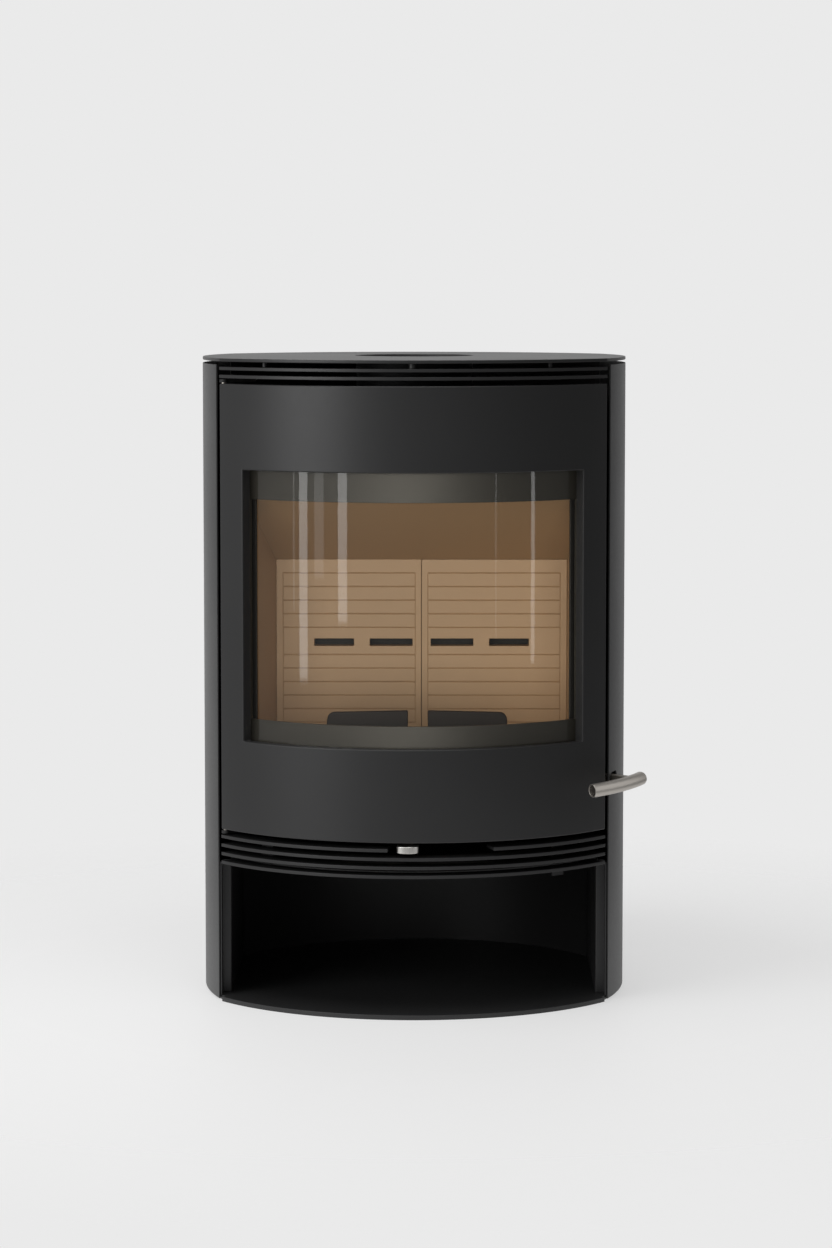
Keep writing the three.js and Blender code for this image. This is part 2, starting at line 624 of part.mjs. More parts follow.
// a curved tray: skin, folds round the outer edge and folds round the window
function doorPanel() {
  const z = [DOOR_BOTTOM, DOOR_TOP];
  const inner = FRONT_RADIUS - DOOR_DEPTH;
  const body = frontArc(FRONT_RADIUS, inner, even(DOOR_ANGLE), z, 14);
  const hollow = frontArc(FRONT_RADIUS - DOOR_SHEET, inner - 1, even(DOOR_ANGLE - FOLD_ANGLE),
    [z[0] + DOOR_SHEET, z[1] - DOOR_SHEET], 14);
  const collarZ = [WINDOW_BOTTOM - DOOR_SHEET, WINDOW_TOP + DOOR_SHEET];
  const collarAngles = even(WINDOW_ANGLE + FOLD_ANGLE);
  const collar = frontArc(FRONT_RADIUS + 1, FRONT_RADIUS - WINDOW_DEPTH, collarAngles, collarZ, 14);
  const windowZ = [WINDOW_BOTTOM, WINDOW_TOP];
  const window = frontArc(FRONT_RADIUS + 2, inner - 2, even(WINDOW_ANGLE), windowZ, 14);
  const depth = PIN_HOLD + GAP;
  const holes = [hingeHole([z[0] - 1, z[0] + depth]), hingeHole([z[1] - depth, z[1] + 1])];
  return cut(body, hollow.subtract(collar), window, ...holes);
}

// a curved wall the size of the window, grown all round
const windowSheet = (outer, inner, grow) =>
  frontArc(outer, inner, even(WINDOW_ANGLE + grow / FRONT_RADIUS),
    [WINDOW_BOTTOM - grow, WINDOW_TOP + grow], 14);

// a soft strip between the glass and the folds round the window
function glassSeal() {
  const outer = FRONT_RADIUS - WINDOW_DEPTH - GAP;
  const inner = GLASS_RADIUS + GAP;
  return cut(windowSheet(outer, inner, GLASS_LAP), windowSheet(outer + 1, inner - 1, 1));
}

const glassPane = () => windowSheet(GLASS_RADIUS, GLASS_RADIUS - GLASS_THICKNESS, GLASS_LAP);

// the plate that closes the door's back and clamps the glass
function doorInnerFrame() {
  const inner = FRAME_RADIUS - FRAME_SHEET;
  const outside = evenArc(FRAME_RADIUS, inner, FRAME_HALF_WIDTH, [DOOR_BOTTOM + 8, DOOR_TOP - 22], 14);
  const sightZ = [SIGHT_BOTTOM, SIGHT_TOP];
  return cut(outside, evenArc(FRAME_RADIUS + 1, inner - 1, SIGHT_HALF_WIDTH, sightZ, 14));
}

// the rope that seals the door against the firebox's face
function doorSeal() {
  const [left, bottom, top] = [FACE_HALF_WIDTH - 1, DOOR_BOTTOM + 10, FIRE_OPENING_Z[1] + 12];
  const wall = (inset, slack) => evenArc(ROPE_RADIUS + slack, ROPE_RADIUS - ROPE_DEPTH - slack,
    left - inset, [bottom + inset, top - inset]);
  return cut(wall(0, 0), wall(ROPE_WIDTH, 1));
}

// the catch that the latch's finger bears on
function striker() {
  const z = [262, 272];
  const blade = block([222, 226], [-150, -122], z);
  const angles = [angleAt(FRONT_RADIUS, 210), angleAt(FRONT_RADIUS, 236)];
  const foot = frontArc(FRAME_RADIUS + GAP + 3, FRAME_RADIUS + GAP, angles, z, 4);
  return join(blade, foot);
}

const hingePin = (z) => drum(...HINGE, z, PIN_RADIUS, 24);

// a flat bracket on the firebox that carries one hinge pin
function hingeBracket(z) {
  const plate = prism(polygon([
    [HINGE[0], HINGE[1] - 5], [-196, -128], [-196, -104], [-228, -100], [HINGE[0] - 3, HINGE[1] + 5],
  ]), z);
  const whole = join(plate, drum(...HINGE, z, 5.3, 24));
  return cut(whole, hingeHole([z[0] - 1, z[1] + 1]));
}

const UPPER_BRACKET_Z = [DOOR_TOP + 1.4, DOOR_TOP + 5.4];
const LOWER_BRACKET_Z = [DOOR_BOTTOM - 5.5, DOOR_BOTTOM - 1.5];

piece('door_panel', doorPanel(), blackPaint);
piece('door_inner_frame', doorInnerFrame(), innerSteel);
piece('glass_pane', glassPane(), glass);
piece('glass_seal', glassSeal(), rope);
piece('door_seal', doorSeal(), rope);
piece('striker', striker(), innerSteel);
piece('hinge_pin_upper', hingePin([DOOR_TOP - PIN_HOLD, UPPER_BRACKET_Z[1]]), brushedSteel);
piece('hinge_pin_lower', hingePin([LOWER_BRACKET_Z[0], DOOR_BOTTOM + PIN_HOLD]), brushedSteel);
piece('hinge_bracket_upper', hingeBracket(UPPER_BRACKET_Z), innerSteel);
piece('hinge_bracket_lower', hingeBracket(LOWER_BRACKET_Z), innerSteel);

// ---------- handle and latch ----------

const SHAFT_Z = [256, 305];
const HUB_RADIUS = 6;
const EAR_THICKNESS = 3;

// the tube's centre line, an arc in plan that rises evenly
class HandleCurve extends THREE.Curve {
  constructor() {
    super();
    const dx = TUBE_END[0] - TUBE_START[0];
    const dy = TUBE_END[1] - TUBE_START[1];
    const chordHeading = Math.atan2(dy, dx);
    const half = radians(TUBE_END_HEADING) - chordHeading;
    this.startHeading = chordHeading - half;
    this.sweep = 2 * half;
    this.radius = Math.hypot(dx, dy) / (2 * Math.sin(half));
  }

  getPoint(t, target = new THREE.Vector3()) {
    const heading = this.startHeading + this.sweep * t;
    const x = TUBE_START[0] + this.radius * (Math.sin(heading) - Math.sin(this.startHeading));
    const y = TUBE_START[1] - this.radius * (Math.cos(heading) - Math.cos(this.startHeading));
    return target.set(x, y, TUBE_START[2] + (TUBE_END[2] - TUBE_START[2]) * t);
  }
}

const handleCurve = new HandleCurve();
const HANDLE_LENGTH = handleCurve.getLength();

// the stretch of the handle's curve between two lengths along it
class Stretch extends THREE.Curve {
  constructor(from, to) {
    super();
    this.from = from / HANDLE_LENGTH;
    this.to = to / HANDLE_LENGTH;
  }

  getPoint(t, target = new THREE.Vector3()) {
    return handleCurve.getPoint(this.from + (this.to - this.from) * t, target);
  }
}

function roundBar(path, radius, bore = 0, steps = 18) {
  const section = new THREE.Shape().absarc(0, 0, radius, 0, Math.PI * 2);
  if (bore > 0) section.holes.push(new THREE.Path().absarc(0, 0, bore, 0, Math.PI * 2, true));
  return toSolid(new THREE.ExtrudeGeometry(section, { steps, curveSegments: 12, extrudePath: path }));
}

const TUBE_BORE = TUBE_RADIUS - TUBE_WALL;
const handlePlug = (from, to) => roundBar(new Stretch(from, to), TUBE_BORE - GAP, 0, 2);

// a flat bar from the shaft's hub out through the slot to the tube, coped to fit it; cutting by the
// tube leaves a loose end beyond, and only the piece next to the shaft is kept
function handleArm() {
  const bar = block([2, 75], [-ARM_WIDTH / 2, ARM_WIDTH / 2], ARM_Z);
  const placed = bar.rotate([0, 0, ARM_ANGLE]).translate([...SHAFT, 0]);
  const hub = drum(...SHAFT, ARM_Z, HUB_RADIUS, 24);
  const tube = roundBar(new Stretch(-40, HANDLE_LENGTH + 40), TUBE_RADIUS + GAP);
  const bore = drum(...SHAFT, [ARM_Z[0] - 1, ARM_Z[1] + 1], SHAFT_RADIUS + GAP, 24);
  const distance = (part) => Math.abs(part.boundingBox().min[0] - SHAFT[0]);
  return cut(join(placed, hub), tube, bore).decompose().sort((a, b) => distance(a) - distance(b))[0];
}

function latchFinger() {
  const z = [263, 271];
  const [sx, sy] = SHAFT;
  const finger = prism(polygon([
    [sx - 5, sy + 2], [227.4, -122], [227.4, -129], [231, -129], [sx + 5.2, sy - 2],
  ]), z);
  const hub = drum(...SHAFT, z, HUB_RADIUS, 24);
  return cut(join(finger, hub), drum(...SHAFT, [z[0] - 1, z[1] + 1], SHAFT_RADIUS + GAP, 24));
}

// two ears that carry the shaft, joined by a back strip beside the firebox's cheek
function lockBracket() {
  const [bottom, top] = [SHAFT_Z[0] - EAR_THICKNESS, SHAFT_Z[1] + EAR_THICKNESS];
  const cheek = polygon([[229.8, -95.3], [225.2, -104.1], [226.6, -104.8], [231.2, -96]]);
  const ear = polygon([[225.2, -104.1], [228, -114], [240, -105], [236, -97], [229.8, -95.3]]);
  const ears = [[bottom, SHAFT_Z[0]], [SHAFT_Z[1], top]].map((z) =>
    join(drum(...SHAFT, z, HUB_RADIUS + 2, 24), prism(ear, z)));
  const strip = prism(cheek, [bottom, top]);
  const bore = drum(...SHAFT, [bottom - 1, top + 1], SHAFT_RADIUS + GAP, 24);
  return cut(join(strip, ...ears), bore);
}

const lockShaft = () => drum(...SHAFT, [SHAFT_Z[0] - 2, SHAFT_Z[1] + 2], SHAFT_RADIUS, 24);

piece('lock_bracket', lockBracket(), innerSteel);
piece('lock_shaft', lockShaft(), brushedSteel);
piece('latch_finger', latchFinger(), innerSteel);
piece('handle_arm', handleArm(), brushedSteel);
piece('handle_tube', roundBar(new Stretch(0, HANDLE_LENGTH), TUBE_RADIUS, TUBE_BORE), brushedSteel);
piece('handle_plug_front', handlePlug(2, 8), brushedSteel);
piece('handle_plug_rear', handlePlug(HANDLE_LENGTH - 7, HANDLE_LENGTH - 1), brushedSteel);

// ---------- air control ----------

const LEVER_PIVOT = [0, FRONT_CENTRE_Y];
const KNOB_ANGLE = angleAt(FRONT_RADIUS, KNOB_X);
const KNOB_DEPTH = 22;
const LEVER_HALF_WIDTH = 6;
const LEVER_FRONT_Y = -252;
const DAMPER_RADIUS = 56;

const turnedOnPivot = (solid) => solid.translate([0, -FRONT_CENTRE_Y, 0])
  .rotate([0, 0, THREE.MathUtils.radToDeg(KNOB_ANGLE)]).translate([0, FRONT_CENTRE_Y, 0]);

// a flat bar with an eye round the pivot
function airLever() {
  const bar = block([-LEVER_HALF_WIDTH, LEVER_HALF_WIDTH], [LEVER_FRONT_Y, FRONT_CENTRE_Y], LEVER_Z);
  const eye = drum(...LEVER_PIVOT, LEVER_Z, 14, 24);
  const bore = drum(...LEVER_PIVOT, [LEVER_Z[0] - 1, LEVER_Z[1] + 1], PIVOT_RADIUS + GAP, 20);
  return turnedOnPivot(cut(join(bar, eye), bore));
}

// a D-shaped grip with a slot at the back for the lever's end
function airKnob() {
  const half = KNOB_WIDTH / 2;
  const front = FRONT_CENTRE_Y - FRONT_RADIUS;
  const shape = new THREE.Shape();
  shape.moveTo(half, front + KNOB_DEPTH);
  shape.lineTo(-half, front + KNOB_DEPTH);
  shape.lineTo(-half, front + 6);
  shape.absellipse(0, front + 6, half, 7.5, Math.PI, Math.PI * 2, false);
  const halfSlot = LEVER_HALF_WIDTH + GAP;
  const slotY = [LEVER_FRONT_Y - GAP, LEVER_FRONT_Y + 12];
  const slot = block([-halfSlot, halfSlot], slotY, [LEVER_Z[0] - GAP, LEVER_Z[1] + GAP]);
  return turnedOnPivot(cut(prism(shape, KNOB_Z, 10), slot));
}

// the disc that turns under the firebox's air ports
function airDamper() {
  const z = [LEVER_Z[1] + GAP, LEVER_Z[1] + 3];
  const through = [z[0] - 1, z[1] + 1];
  const ports = [-AIR_PORT_X, AIR_PORT_X].map((x) =>
    drum(x, FRONT_CENTRE_Y, through, AIR_PORT_RADIUS - 2, 24));
  const bore = drum(...LEVER_PIVOT, through, PIVOT_RADIUS + GAP, 20);
  return turnedOnPivot(cut(drum(...LEVER_PIVOT, z, DAMPER_RADIUS, 40), bore, ...ports));
}

// a headed pin hung from the firebox's bottom
function leverPivot() {
  const bottom = LEVER_Z[0] - 6;
  const pin = drum(...LEVER_PIVOT, [bottom, FIREBOX_BOTTOM + FIREBOX_SHEET], PIVOT_RADIUS, 20);
  return join(pin, drum(...LEVER_PIVOT, [bottom, bottom + 4], PIVOT_RADIUS + 4, 20));
}

piece('lever_pivot', leverPivot(), innerSteel);
piece('air_lever', airLever(), innerSteel);
piece('air_knob', airKnob(), brushedSteel);
piece('air_damper', airDamper(), innerSteel);

export default stove;
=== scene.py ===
"""Wood burning stove: a near-round body in bent steel sheet with a curved glazed door, fins above
and below it, a log store underneath, and a firebox lined with pressed boards.

Metres, +Z up, front facing -Y.
"""

import json
import math

import bmesh
import bpy
from bpy.props import FloatProperty, FloatVectorProperty, IntProperty, PointerProperty
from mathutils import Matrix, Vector

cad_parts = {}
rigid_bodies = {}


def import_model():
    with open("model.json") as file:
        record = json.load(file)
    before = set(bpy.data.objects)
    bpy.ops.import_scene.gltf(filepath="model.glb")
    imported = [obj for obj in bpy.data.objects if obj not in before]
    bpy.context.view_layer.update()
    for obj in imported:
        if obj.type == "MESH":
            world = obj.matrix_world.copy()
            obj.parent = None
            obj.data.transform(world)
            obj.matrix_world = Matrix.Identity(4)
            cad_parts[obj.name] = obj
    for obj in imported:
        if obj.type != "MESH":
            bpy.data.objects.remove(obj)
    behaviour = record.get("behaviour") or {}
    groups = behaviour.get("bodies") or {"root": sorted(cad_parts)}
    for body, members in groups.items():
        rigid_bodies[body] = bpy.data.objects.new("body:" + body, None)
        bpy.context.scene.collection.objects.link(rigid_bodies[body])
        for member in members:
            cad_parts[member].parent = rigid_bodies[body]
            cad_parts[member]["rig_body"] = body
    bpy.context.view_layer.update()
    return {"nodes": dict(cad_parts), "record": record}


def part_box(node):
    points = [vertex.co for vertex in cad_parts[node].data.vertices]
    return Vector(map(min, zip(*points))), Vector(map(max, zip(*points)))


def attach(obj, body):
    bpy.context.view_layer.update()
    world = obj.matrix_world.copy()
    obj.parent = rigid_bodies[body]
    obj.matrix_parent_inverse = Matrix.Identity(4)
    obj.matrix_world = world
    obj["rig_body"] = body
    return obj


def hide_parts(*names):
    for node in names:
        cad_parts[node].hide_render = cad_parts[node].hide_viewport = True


bl_info = {
    "name": "Wood Burning Stove",
    "version": (1, 0, 0),
    "blender": (4, 5, 0),
    "location": "View3D > Sidebar > Stove",
    "description": "Models the bent sheet, boards, glass and fittings of a round wood burning stove",
    "category": "Object",
}

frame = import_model()

MM = 0.001
END_SLACK = 0.1 * MM
FACE_SLACK = 0.01 * MM
OVERRUN = 5 * MM

# ---------- plan of the body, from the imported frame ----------

FRONT_RADIUS = 300 * MM
FRONT_CENTRE_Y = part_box("door_panel")[0].y + FRONT_RADIUS
HALF_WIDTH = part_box("side_panel_right")[1].x
CORNER_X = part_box("side_panel_right")[0].x
CORNER_Y = FRONT_CENTRE_Y - math.sqrt(FRONT_RADIUS**2 - CORNER_X**2)
SIDE_RISE = HALF_WIDTH - CORNER_X
SIDE_RADIUS = (CORNER_Y**2 + SIDE_RISE**2) / (2 * SIDE_RISE)
SIDE_CENTRE_X = HALF_WIDTH - SIDE_RADIUS

PANEL_SHEET = 2 * MM
GLASS_RADIUS = FRONT_RADIUS - 14.6 * MM
GLASS_THICKNESS = 4 * MM
SEAL_RADIUS = FRONT_RADIUS - 12.3 * MM
SEAL_THICKNESS = 2 * MM
SEAL_CLEARANCE = 1 * MM
FRAME_RADIUS = GLASS_RADIUS - 4.3 * MM
WINDOW_HALF_WIDTH = 211 * MM
WINDOW_Z = (333.5 * MM, 671 * MM)
SIGHT_HALF_WIDTH = 203 * MM
SIGHT_Z = (360 * MM, 634 * MM)
FLUE_CENTRE_Y = 34 * MM


# ---------- sizes and colours to change ----------


def length(name, description, default):
    return FloatProperty(
        name=name, description=description, default=default, min=0.0, unit="LENGTH", precision=5
    )


def colour(name, description, default):
    return FloatVectorProperty(
        name=name, description=description, default=default, size=3, min=0.0, max=1.0, subtype="COLOR"
    )


def amount(name, description, default):
    return FloatProperty(name=name, description=description, default=default, min=0.0, subtype="FACTOR")


def power(name, description, default):
    return FloatProperty(name=name, description=description, default=default, min=0.0, unit="POWER")


class StoveSizes(bpy.types.PropertyGroup):
    """Sizes of bends, edges and grooves"""

    sheet_bend: length("Sheet bend", "Outside radius where the door's sheet is folded", 1.6 * MM)
    cut_edge: length("Cut edge", "Rounding left on cut sheet by the paint", 0.45 * MM)
    plate_edge: length("Plate edge", "Rounding along the rims of the top and base plates", 0.8 * MM)
    board_edge: length("Board edge", "Rounding along the edges of the lining boards", 1.0 * MM)
    cast_edge: length("Cast edge", "Rounding along the edges of the castings", 1.8 * MM)
    slice_width: length("Slice width", "Width of the flat slices that a rolled sheet is made of", 5 * MM)
    groove_pitch: length("Groove pitch", "Distance between the back boards' grooves", 17.94 * MM)
    groove_width: length("Groove width", "Width of each groove at the surface", 1.8 * MM)
    border_width: length("Border width", "Width of the finer upright lines at the grooves' ends", 1.1 * MM)
    rear_lap: length("Rear lap", "How far the rear panel laps behind the side panels", 4.2 * MM)
    rope_radius: length("Rope radius", "Radius of the woven rope that seals the door", 3.4 * MM)


class StoveColours(bpy.types.PropertyGroup):
    """Colours and gloss of the finishes"""

    paint: colour("Stove paint", "Heat-proof paint on the outer sheet", (0.022, 0.022, 0.0225))
    paint_roughness: amount("Paint roughness", "How matt the stove paint is", 0.44)
    dark_steel: colour("Dark steel", "Sheet inside the stove", (0.014, 0.014, 0.0145))
    frame_steel: colour("Frame steel", "Painted plate that holds the glass", (0.021, 0.0205, 0.019))
    board: colour("Board", "Pressed vermiculite", (0.50, 0.365, 0.245))
    board_grain: colour("Board grain", "Darker grains in the vermiculite", (0.17, 0.105, 0.06))
    cast: colour("Cast iron", "Grate and log guards", (0.05, 0.047, 0.042))
    rope: colour("Rope", "Woven glass-fibre rope", (0.05, 0.048, 0.044))
    steel: colour("Brushed steel", "Handle, knob and pins", (0.62, 0.57, 0.51))
    # Dark plug tone: painted shade, standing for the shadowed hollow inside the handle tube's open ends.
    plug: colour("Handle plug", "Recessed ends of the handle", (0.11, 0.1, 0.09))
    arm: colour("Handle arm", "Flat bar that carries the handle", (0.34, 0.31, 0.27))
    knob: colour("Air knob", "Grip of the air control", (0.8, 0.78, 0.74))
    glass_tint: colour("Glass tint", "What the ceramic glass lets through", (0.90, 0.885, 0.85))
    floor: colour("Floor", "Studio floor", (0.45, 0.45, 0.45))


class StudioLight(bpy.types.PropertyGroup):
    """Strength of the studio's lights"""

    key: power("Key", "Large softbox, front left", 26.0)
    strip: power("Strips", "Tall narrow lights", 1.9)
    fill: power("Fill", "Light let in through the window", 62.0)
    steel: power("Steel", "Softbox for the bare steel", 24.0)
    overhead: power("Overhead", "Softbox above the stove", 30.0)
    backdrop: amount("Backdrop", "Brightness of the pale backdrop", 0.823)
    behind: amount("Behind", "Light from behind and beside the stove", 0.85)
    ahead: amount("Ahead", "Light from in front of the stove", 0.26)
    lean: amount("Lean", "How much lighter the left is than the right", 0.5)


# ---------- the workshop: selecting, bending, cutting, easing ----------


def deselect():
    if bpy.context.mode != "OBJECT":
        bpy.ops.object.mode_set(mode="OBJECT")
    bpy.ops.object.select_all(action="DESELECT")


def take(piece):
    """Leaves one piece selected and active."""
    deselect()
    piece.select_set(True)
    bpy.context.view_layer.objects.active = piece


def edit(piece):
    """Opens a piece in edit mode with all of it selected."""
    take(piece)
    bpy.ops.object.mode_set(mode="EDIT")
    bpy.ops.mesh.select_mode(type="VERT")
    bpy.ops.mesh.select_all(action="SELECT")


def choose(piece, kind, test):
    """In edit mode, selects the vertices, edges or faces whose middle passes a test."""
    bpy.ops.mesh.select_mode(type=kind)
    bpy.ops.mesh.select_all(action="DESELECT")
    mesh = bmesh.from_edit_mesh(piece.data)
    items = {"VERT": mesh.verts, "EDGE": mesh.edges, "FACE": mesh.faces}[kind]
    for item in items:
        points = [item.co] if kind == "VERT" else [vert.co for vert in item.verts]
        item.select_set(test(sum(points, Vector()) / len(points)))
    mesh.select_flush_mode()
    bmesh.update_edit_mesh(piece.data)


def close_edit(outward=True):
    """Ends editing, with faces pointing out."""
    if outward:
        bpy.ops.mesh.select_all(action="SELECT")
        bpy.ops.mesh.normals_make_consistent(inside=False)
    bpy.ops.object.mode_set(mode="OBJECT")


def settle(piece):
    """Puts a piece's place, turn and scale into its mesh."""
    take(piece)
    bpy.ops.object.transform_apply(location=True, rotation=True, scale=True)
    return piece


def added(name):
    piece = bpy.context.object
    piece.name = name
    piece.data.name = name
    return piece


def bar(name, low, high):
    """A square bar between two corners."""
    low, high = Vector(low), Vector(high)
    deselect()
    bpy.ops.mesh.primitive_cube_add(size=1, location=(low + high) / 2)
    piece = added(name)
    piece.scale = high - low
    return settle(piece)


def rod(name, centre, radius, heights, sides=64):
    """An upright round bar."""
    deselect()
    middle = (centre[0], centre[1], sum(heights) / 2)
    depth = heights[1] - heights[0]
    bpy.ops.mesh.primitive_cylinder_add(vertices=sides, radius=radius, depth=depth, location=middle)
    return settle(added(name))


def blank(name, half_width, heights):
    """A flat sheet without thickness, upright and facing -Y, centred across."""
    deselect()
    middle = (0, 0, sum(heights) / 2)
    bpy.ops.mesh.primitive_plane_add(size=1, location=middle, rotation=(math.pi / 2, 0, 0))
    piece = added(name)
    piece.scale = (2 * half_width, heights[1] - heights[0], 1)
    return settle(piece)


def apply(piece, kind, **settings):
    """Adds a modifier with these settings and applies it."""
    take(piece)
    modifier = piece.modifiers.new(kind, kind)
    for key, value in settings.items():
        setattr(modifier, key, value)
    bpy.ops.object.modifier_apply(modifier=modifier.name)
    return piece


def ease(piece, width, segments=3, limit=40):
    """Rounds the edges that turn by more than the limit in degrees."""
    return apply(
        piece, "BEVEL", width=width, segments=segments, limit_method="ANGLE", angle_limit=math.radians(limit)
    )


def combine(piece, tool, operation="DIFFERENCE"):
    """Cuts a piece by a tool, or joins or trims it to the tool, and scraps the tool."""
    apply(piece, "BOOLEAN", operation=operation, solver="EXACT", object=tool)
    bpy.data.objects.remove(tool)
    return piece


def slice_across(piece, half_width, step):
    """Cuts a flat sheet into upright slices so that it can be rolled."""
    edit(piece)
    count = int(half_width / step)
    for index in range(-count, count + 1):
        bpy.ops.mesh.select_all(action="SELECT")
        bpy.ops.mesh.bisect(plane_co=(index * step, 0, 0), plane_no=(1, 0, 0))
    close_edit(outward=False)
    return piece


def roll(piece, radius, centre=None, turn=0.0):
    """Rolls a flat sheet to a radius, its -Y face outside, and sets it about an upright centre line."""
    centre = (0, FRONT_CENTRE_Y, 0) if centre is None else centre
    extent = max(v.co.x for v in piece.data.vertices) - min(v.co.x for v in piece.data.vertices)
    apply(piece, "SIMPLE_DEFORM", deform_method="BEND", deform_axis="Z", angle=extent / radius)
    piece.location.y = -radius
    settle(piece)
    piece.rotation_euler.z = turn
    piece.location = centre
    return settle(piece)


def bent_bar(name, radii, heights, angles, centre=(0, FRONT_CENTRE_Y), steps=48):
    """A bar bent round an upright centre line, between two angles from straight ahead, in degrees."""
    start, end = [math.radians(angle) for angle in angles]
    deselect()
    bpy.ops.mesh.primitive_plane_add(size=1, location=(0, -sum(radii) / 2, sum(heights) / 2))
    piece = added(name)
    piece.rotation_euler.y = math.pi / 2
    piece.scale = (heights[1] - heights[0], abs(radii[1] - radii[0]), 1)
    settle(piece)
    piece.rotation_euler.z = start
    piece.location = (centre[0], centre[1], 0)
    settle(piece)
    edit(piece)
    bpy.ops.mesh.spin(steps=steps, angle=start - end, center=(centre[0], centre[1], 0), axis=(0, 0, 1))
    close_edit()
    return piece


def front_angle(radius, x):
    return math.degrees(math.asin(x / radius))


def along(radius, x):
    """How far round an arc of this radius a point at x lies from the middle."""
    return radius * math.asin(x / radius)


def slot_tool(name, x, z, depth=40 * MM):
    """A cutter for a slot with round ends, across x and centred on the sheet."""
    radius = (z[1] - z[0]) / 2
    middle = sum(z) / 2
    upright = (math.pi / 2, 0, 0)
    deselect()
    bpy.ops.mesh.primitive_cylinder_add(vertices=32, radius=radius, depth=depth, rotation=upright)
    piece = added(name)
    settle(piece)
    edit(piece)
    choose(piece, "VERT", lambda p: p.x < 0)
    reach = (x[1] - x[0]) / 2 - radius
    bpy.ops.transform.translate(value=(-reach, 0, 0))
    choose(piece, "VERT", lambda p: p.x >= 0)
    bpy.ops.transform.translate(value=(reach, 0, 0))
    close_edit()
    piece.location = (sum(x) / 2, 0, middle)
    return settle(piece)


def plan_plate(name, inset, heights, front_radius=FRONT_RADIUS, sides=240):
    """A plate of the body's plan, where front, rear and side discs overlap."""
    discs = [
        (0, -FRONT_CENTRE_Y, FRONT_RADIUS),
        (SIDE_CENTRE_X, 0, SIDE_RADIUS),
        (-SIDE_CENTRE_X, 0, SIDE_RADIUS),
    ]
    plate = rod(name, (0, FRONT_CENTRE_Y), front_radius - inset, heights, sides)
    through = (heights[0] - OVERRUN, heights[1] + OVERRUN)
    for x, y, radius in discs:
        tool = rod("disc", (x, y), radius - inset, through, sides)
        combine(plate, tool, "INTERSECT")
    return plate


def eased_copy(node, width, segments=2, limit=25):
    """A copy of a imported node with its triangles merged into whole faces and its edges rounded."""
    piece = bpy.data.objects.new(f"{node}_eased", frame["nodes"][node].data.copy())
    bpy.context.scene.collection.objects.link(piece)
    edit(piece)
    bpy.ops.mesh.customdata_custom_splitnormals_clear()
    bpy.ops.mesh.select_all(action="SELECT")
    bpy.ops.mesh.remove_doubles(threshold=0.01 * MM)
    bpy.ops.mesh.dissolve_limited(angle_limit=math.radians(1))
    close_edit()
    return ease(piece, width, segments, limit)


def inset_ends(piece, low, high, thickness):
    """Insets the two level end faces of an upright bar."""
    edit(piece)
    choose(piece, "FACE", lambda p: p.z > high - END_SLACK or p.z < low + END_SLACK)
    bpy.ops.mesh.inset(thickness=thickness)
    close_edit()


def hand_over(piece, finish, nodes, smooth=30):
    """Shades a finished piece, gives it its finish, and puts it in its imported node's place."""
    nodes = [nodes] if isinstance(nodes, str) else nodes
    take(piece)
    bpy.ops.object.shade_smooth_by_angle(angle=math.radians(smooth))
    apply(piece, "WEIGHTED_NORMAL", keep_sharp=True)
    piece.data.materials.clear()
    piece.data.materials.append(bpy.data.materials[finish])
    node = frame["nodes"][nodes[0]]
    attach(piece, node["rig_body"])
    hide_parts(*nodes)
    return piece


SLOT_OF = {row["node"]: row["material_slot"] for row in frame["record"]["subparts"]}


# ---------- finishes ----------

WHITE = (1.0, 1.0, 1.0, 1.0)
FLOOR_SOLID = 0.55
FLOOR_RADIUS = 1.3
FLOOR_GLOW = 0.5


class Finish:
    """A material being mixed: a principled shader fed by patterns in the piece's own coordinates."""

    def __init__(self, name):
        self.material = bpy.data.materials.new(name)
        self.material.use_nodes = True
        self.tree = self.material.node_tree
        self.shader = self.tree.nodes["Principled BSDF"]
        self.place = self.add("TexCoord").outputs["Object"]

    def add(self, kind, inputs=None, **settings):
        node = self.tree.nodes.new(f"ShaderNode{kind}")
        for key, value in settings.items():
            setattr(node, key, value)
        for key, value in (inputs or {}).items():
            if isinstance(value, bpy.types.NodeSocket):
                self.tree.links.new(value, node.inputs[key])
            else:
                node.inputs[key].default_value = value
        return node

    def wire(self, source, socket):
        self.tree.links.new(source, self.shader.inputs[socket])

    def stretched(self, scale):
        return self.add("Mapping", {"Vector": self.place, "Scale": scale}).outputs["Vector"]

    def noise(self, scale, detail=2.0, roughness=0.5, vector=None):
        inputs = {"Vector": vector or self.place, "Scale": scale, "Detail": detail, "Roughness": roughness}
        return self.add("TexNoise", inputs).outputs["Fac"]

    def spread(self, value, low, high, out_low=0.0, out_high=1.0):
        inputs = {"Value": value, "From Min": low, "From Max": high, "To Min": out_low, "To Max": out_high}
        return self.add("MapRange", inputs).outputs["Result"]

    def blend(self, factor, first, second):
        mix = self.add("Mix", data_type="RGBA")
        for socket, value in zip((mix.inputs[0], mix.inputs[6], mix.inputs[7]), (factor, first, second)):
            if isinstance(value, bpy.types.NodeSocket):
                self.tree.links.new(value, socket)
            else:
                socket.default_value = value
        return mix.outputs[2]

    def bump(self, height, distance, strength=1.0, under=None):
        inputs = {"Height": height, "Distance": distance, "Strength": strength}
        if under is not None:
            inputs["Normal"] = under
        return self.add("Bump", inputs).outputs["Normal"]

    def maths(self, operation, first, second):
        return self.add("Math", {0: first, 1: second}, operation=operation).outputs[0]

    def show_mix(self, share, first, second):
        """Sends a mix of two shaders to the surface."""
        both = self.add("MixShader")
        for socket, source in zip(both.inputs, (share, first.outputs[0], second.outputs[0])):
            self.tree.links.new(source, socket)
        surface = self.tree.nodes["Material Output"].inputs["Surface"]
        self.tree.links.new(both.outputs[0], surface)

    def set(self, **values):
        names = {key: key.replace("_", " ").title() for key in values}
        for key, value in values.items():
            self.shader.inputs[names[key].replace("Ior", "IOR")].default_value = value


def opaque(rgb, gain=1.0):
    return tuple(channel * gain for channel in rgb) + (1.0,)


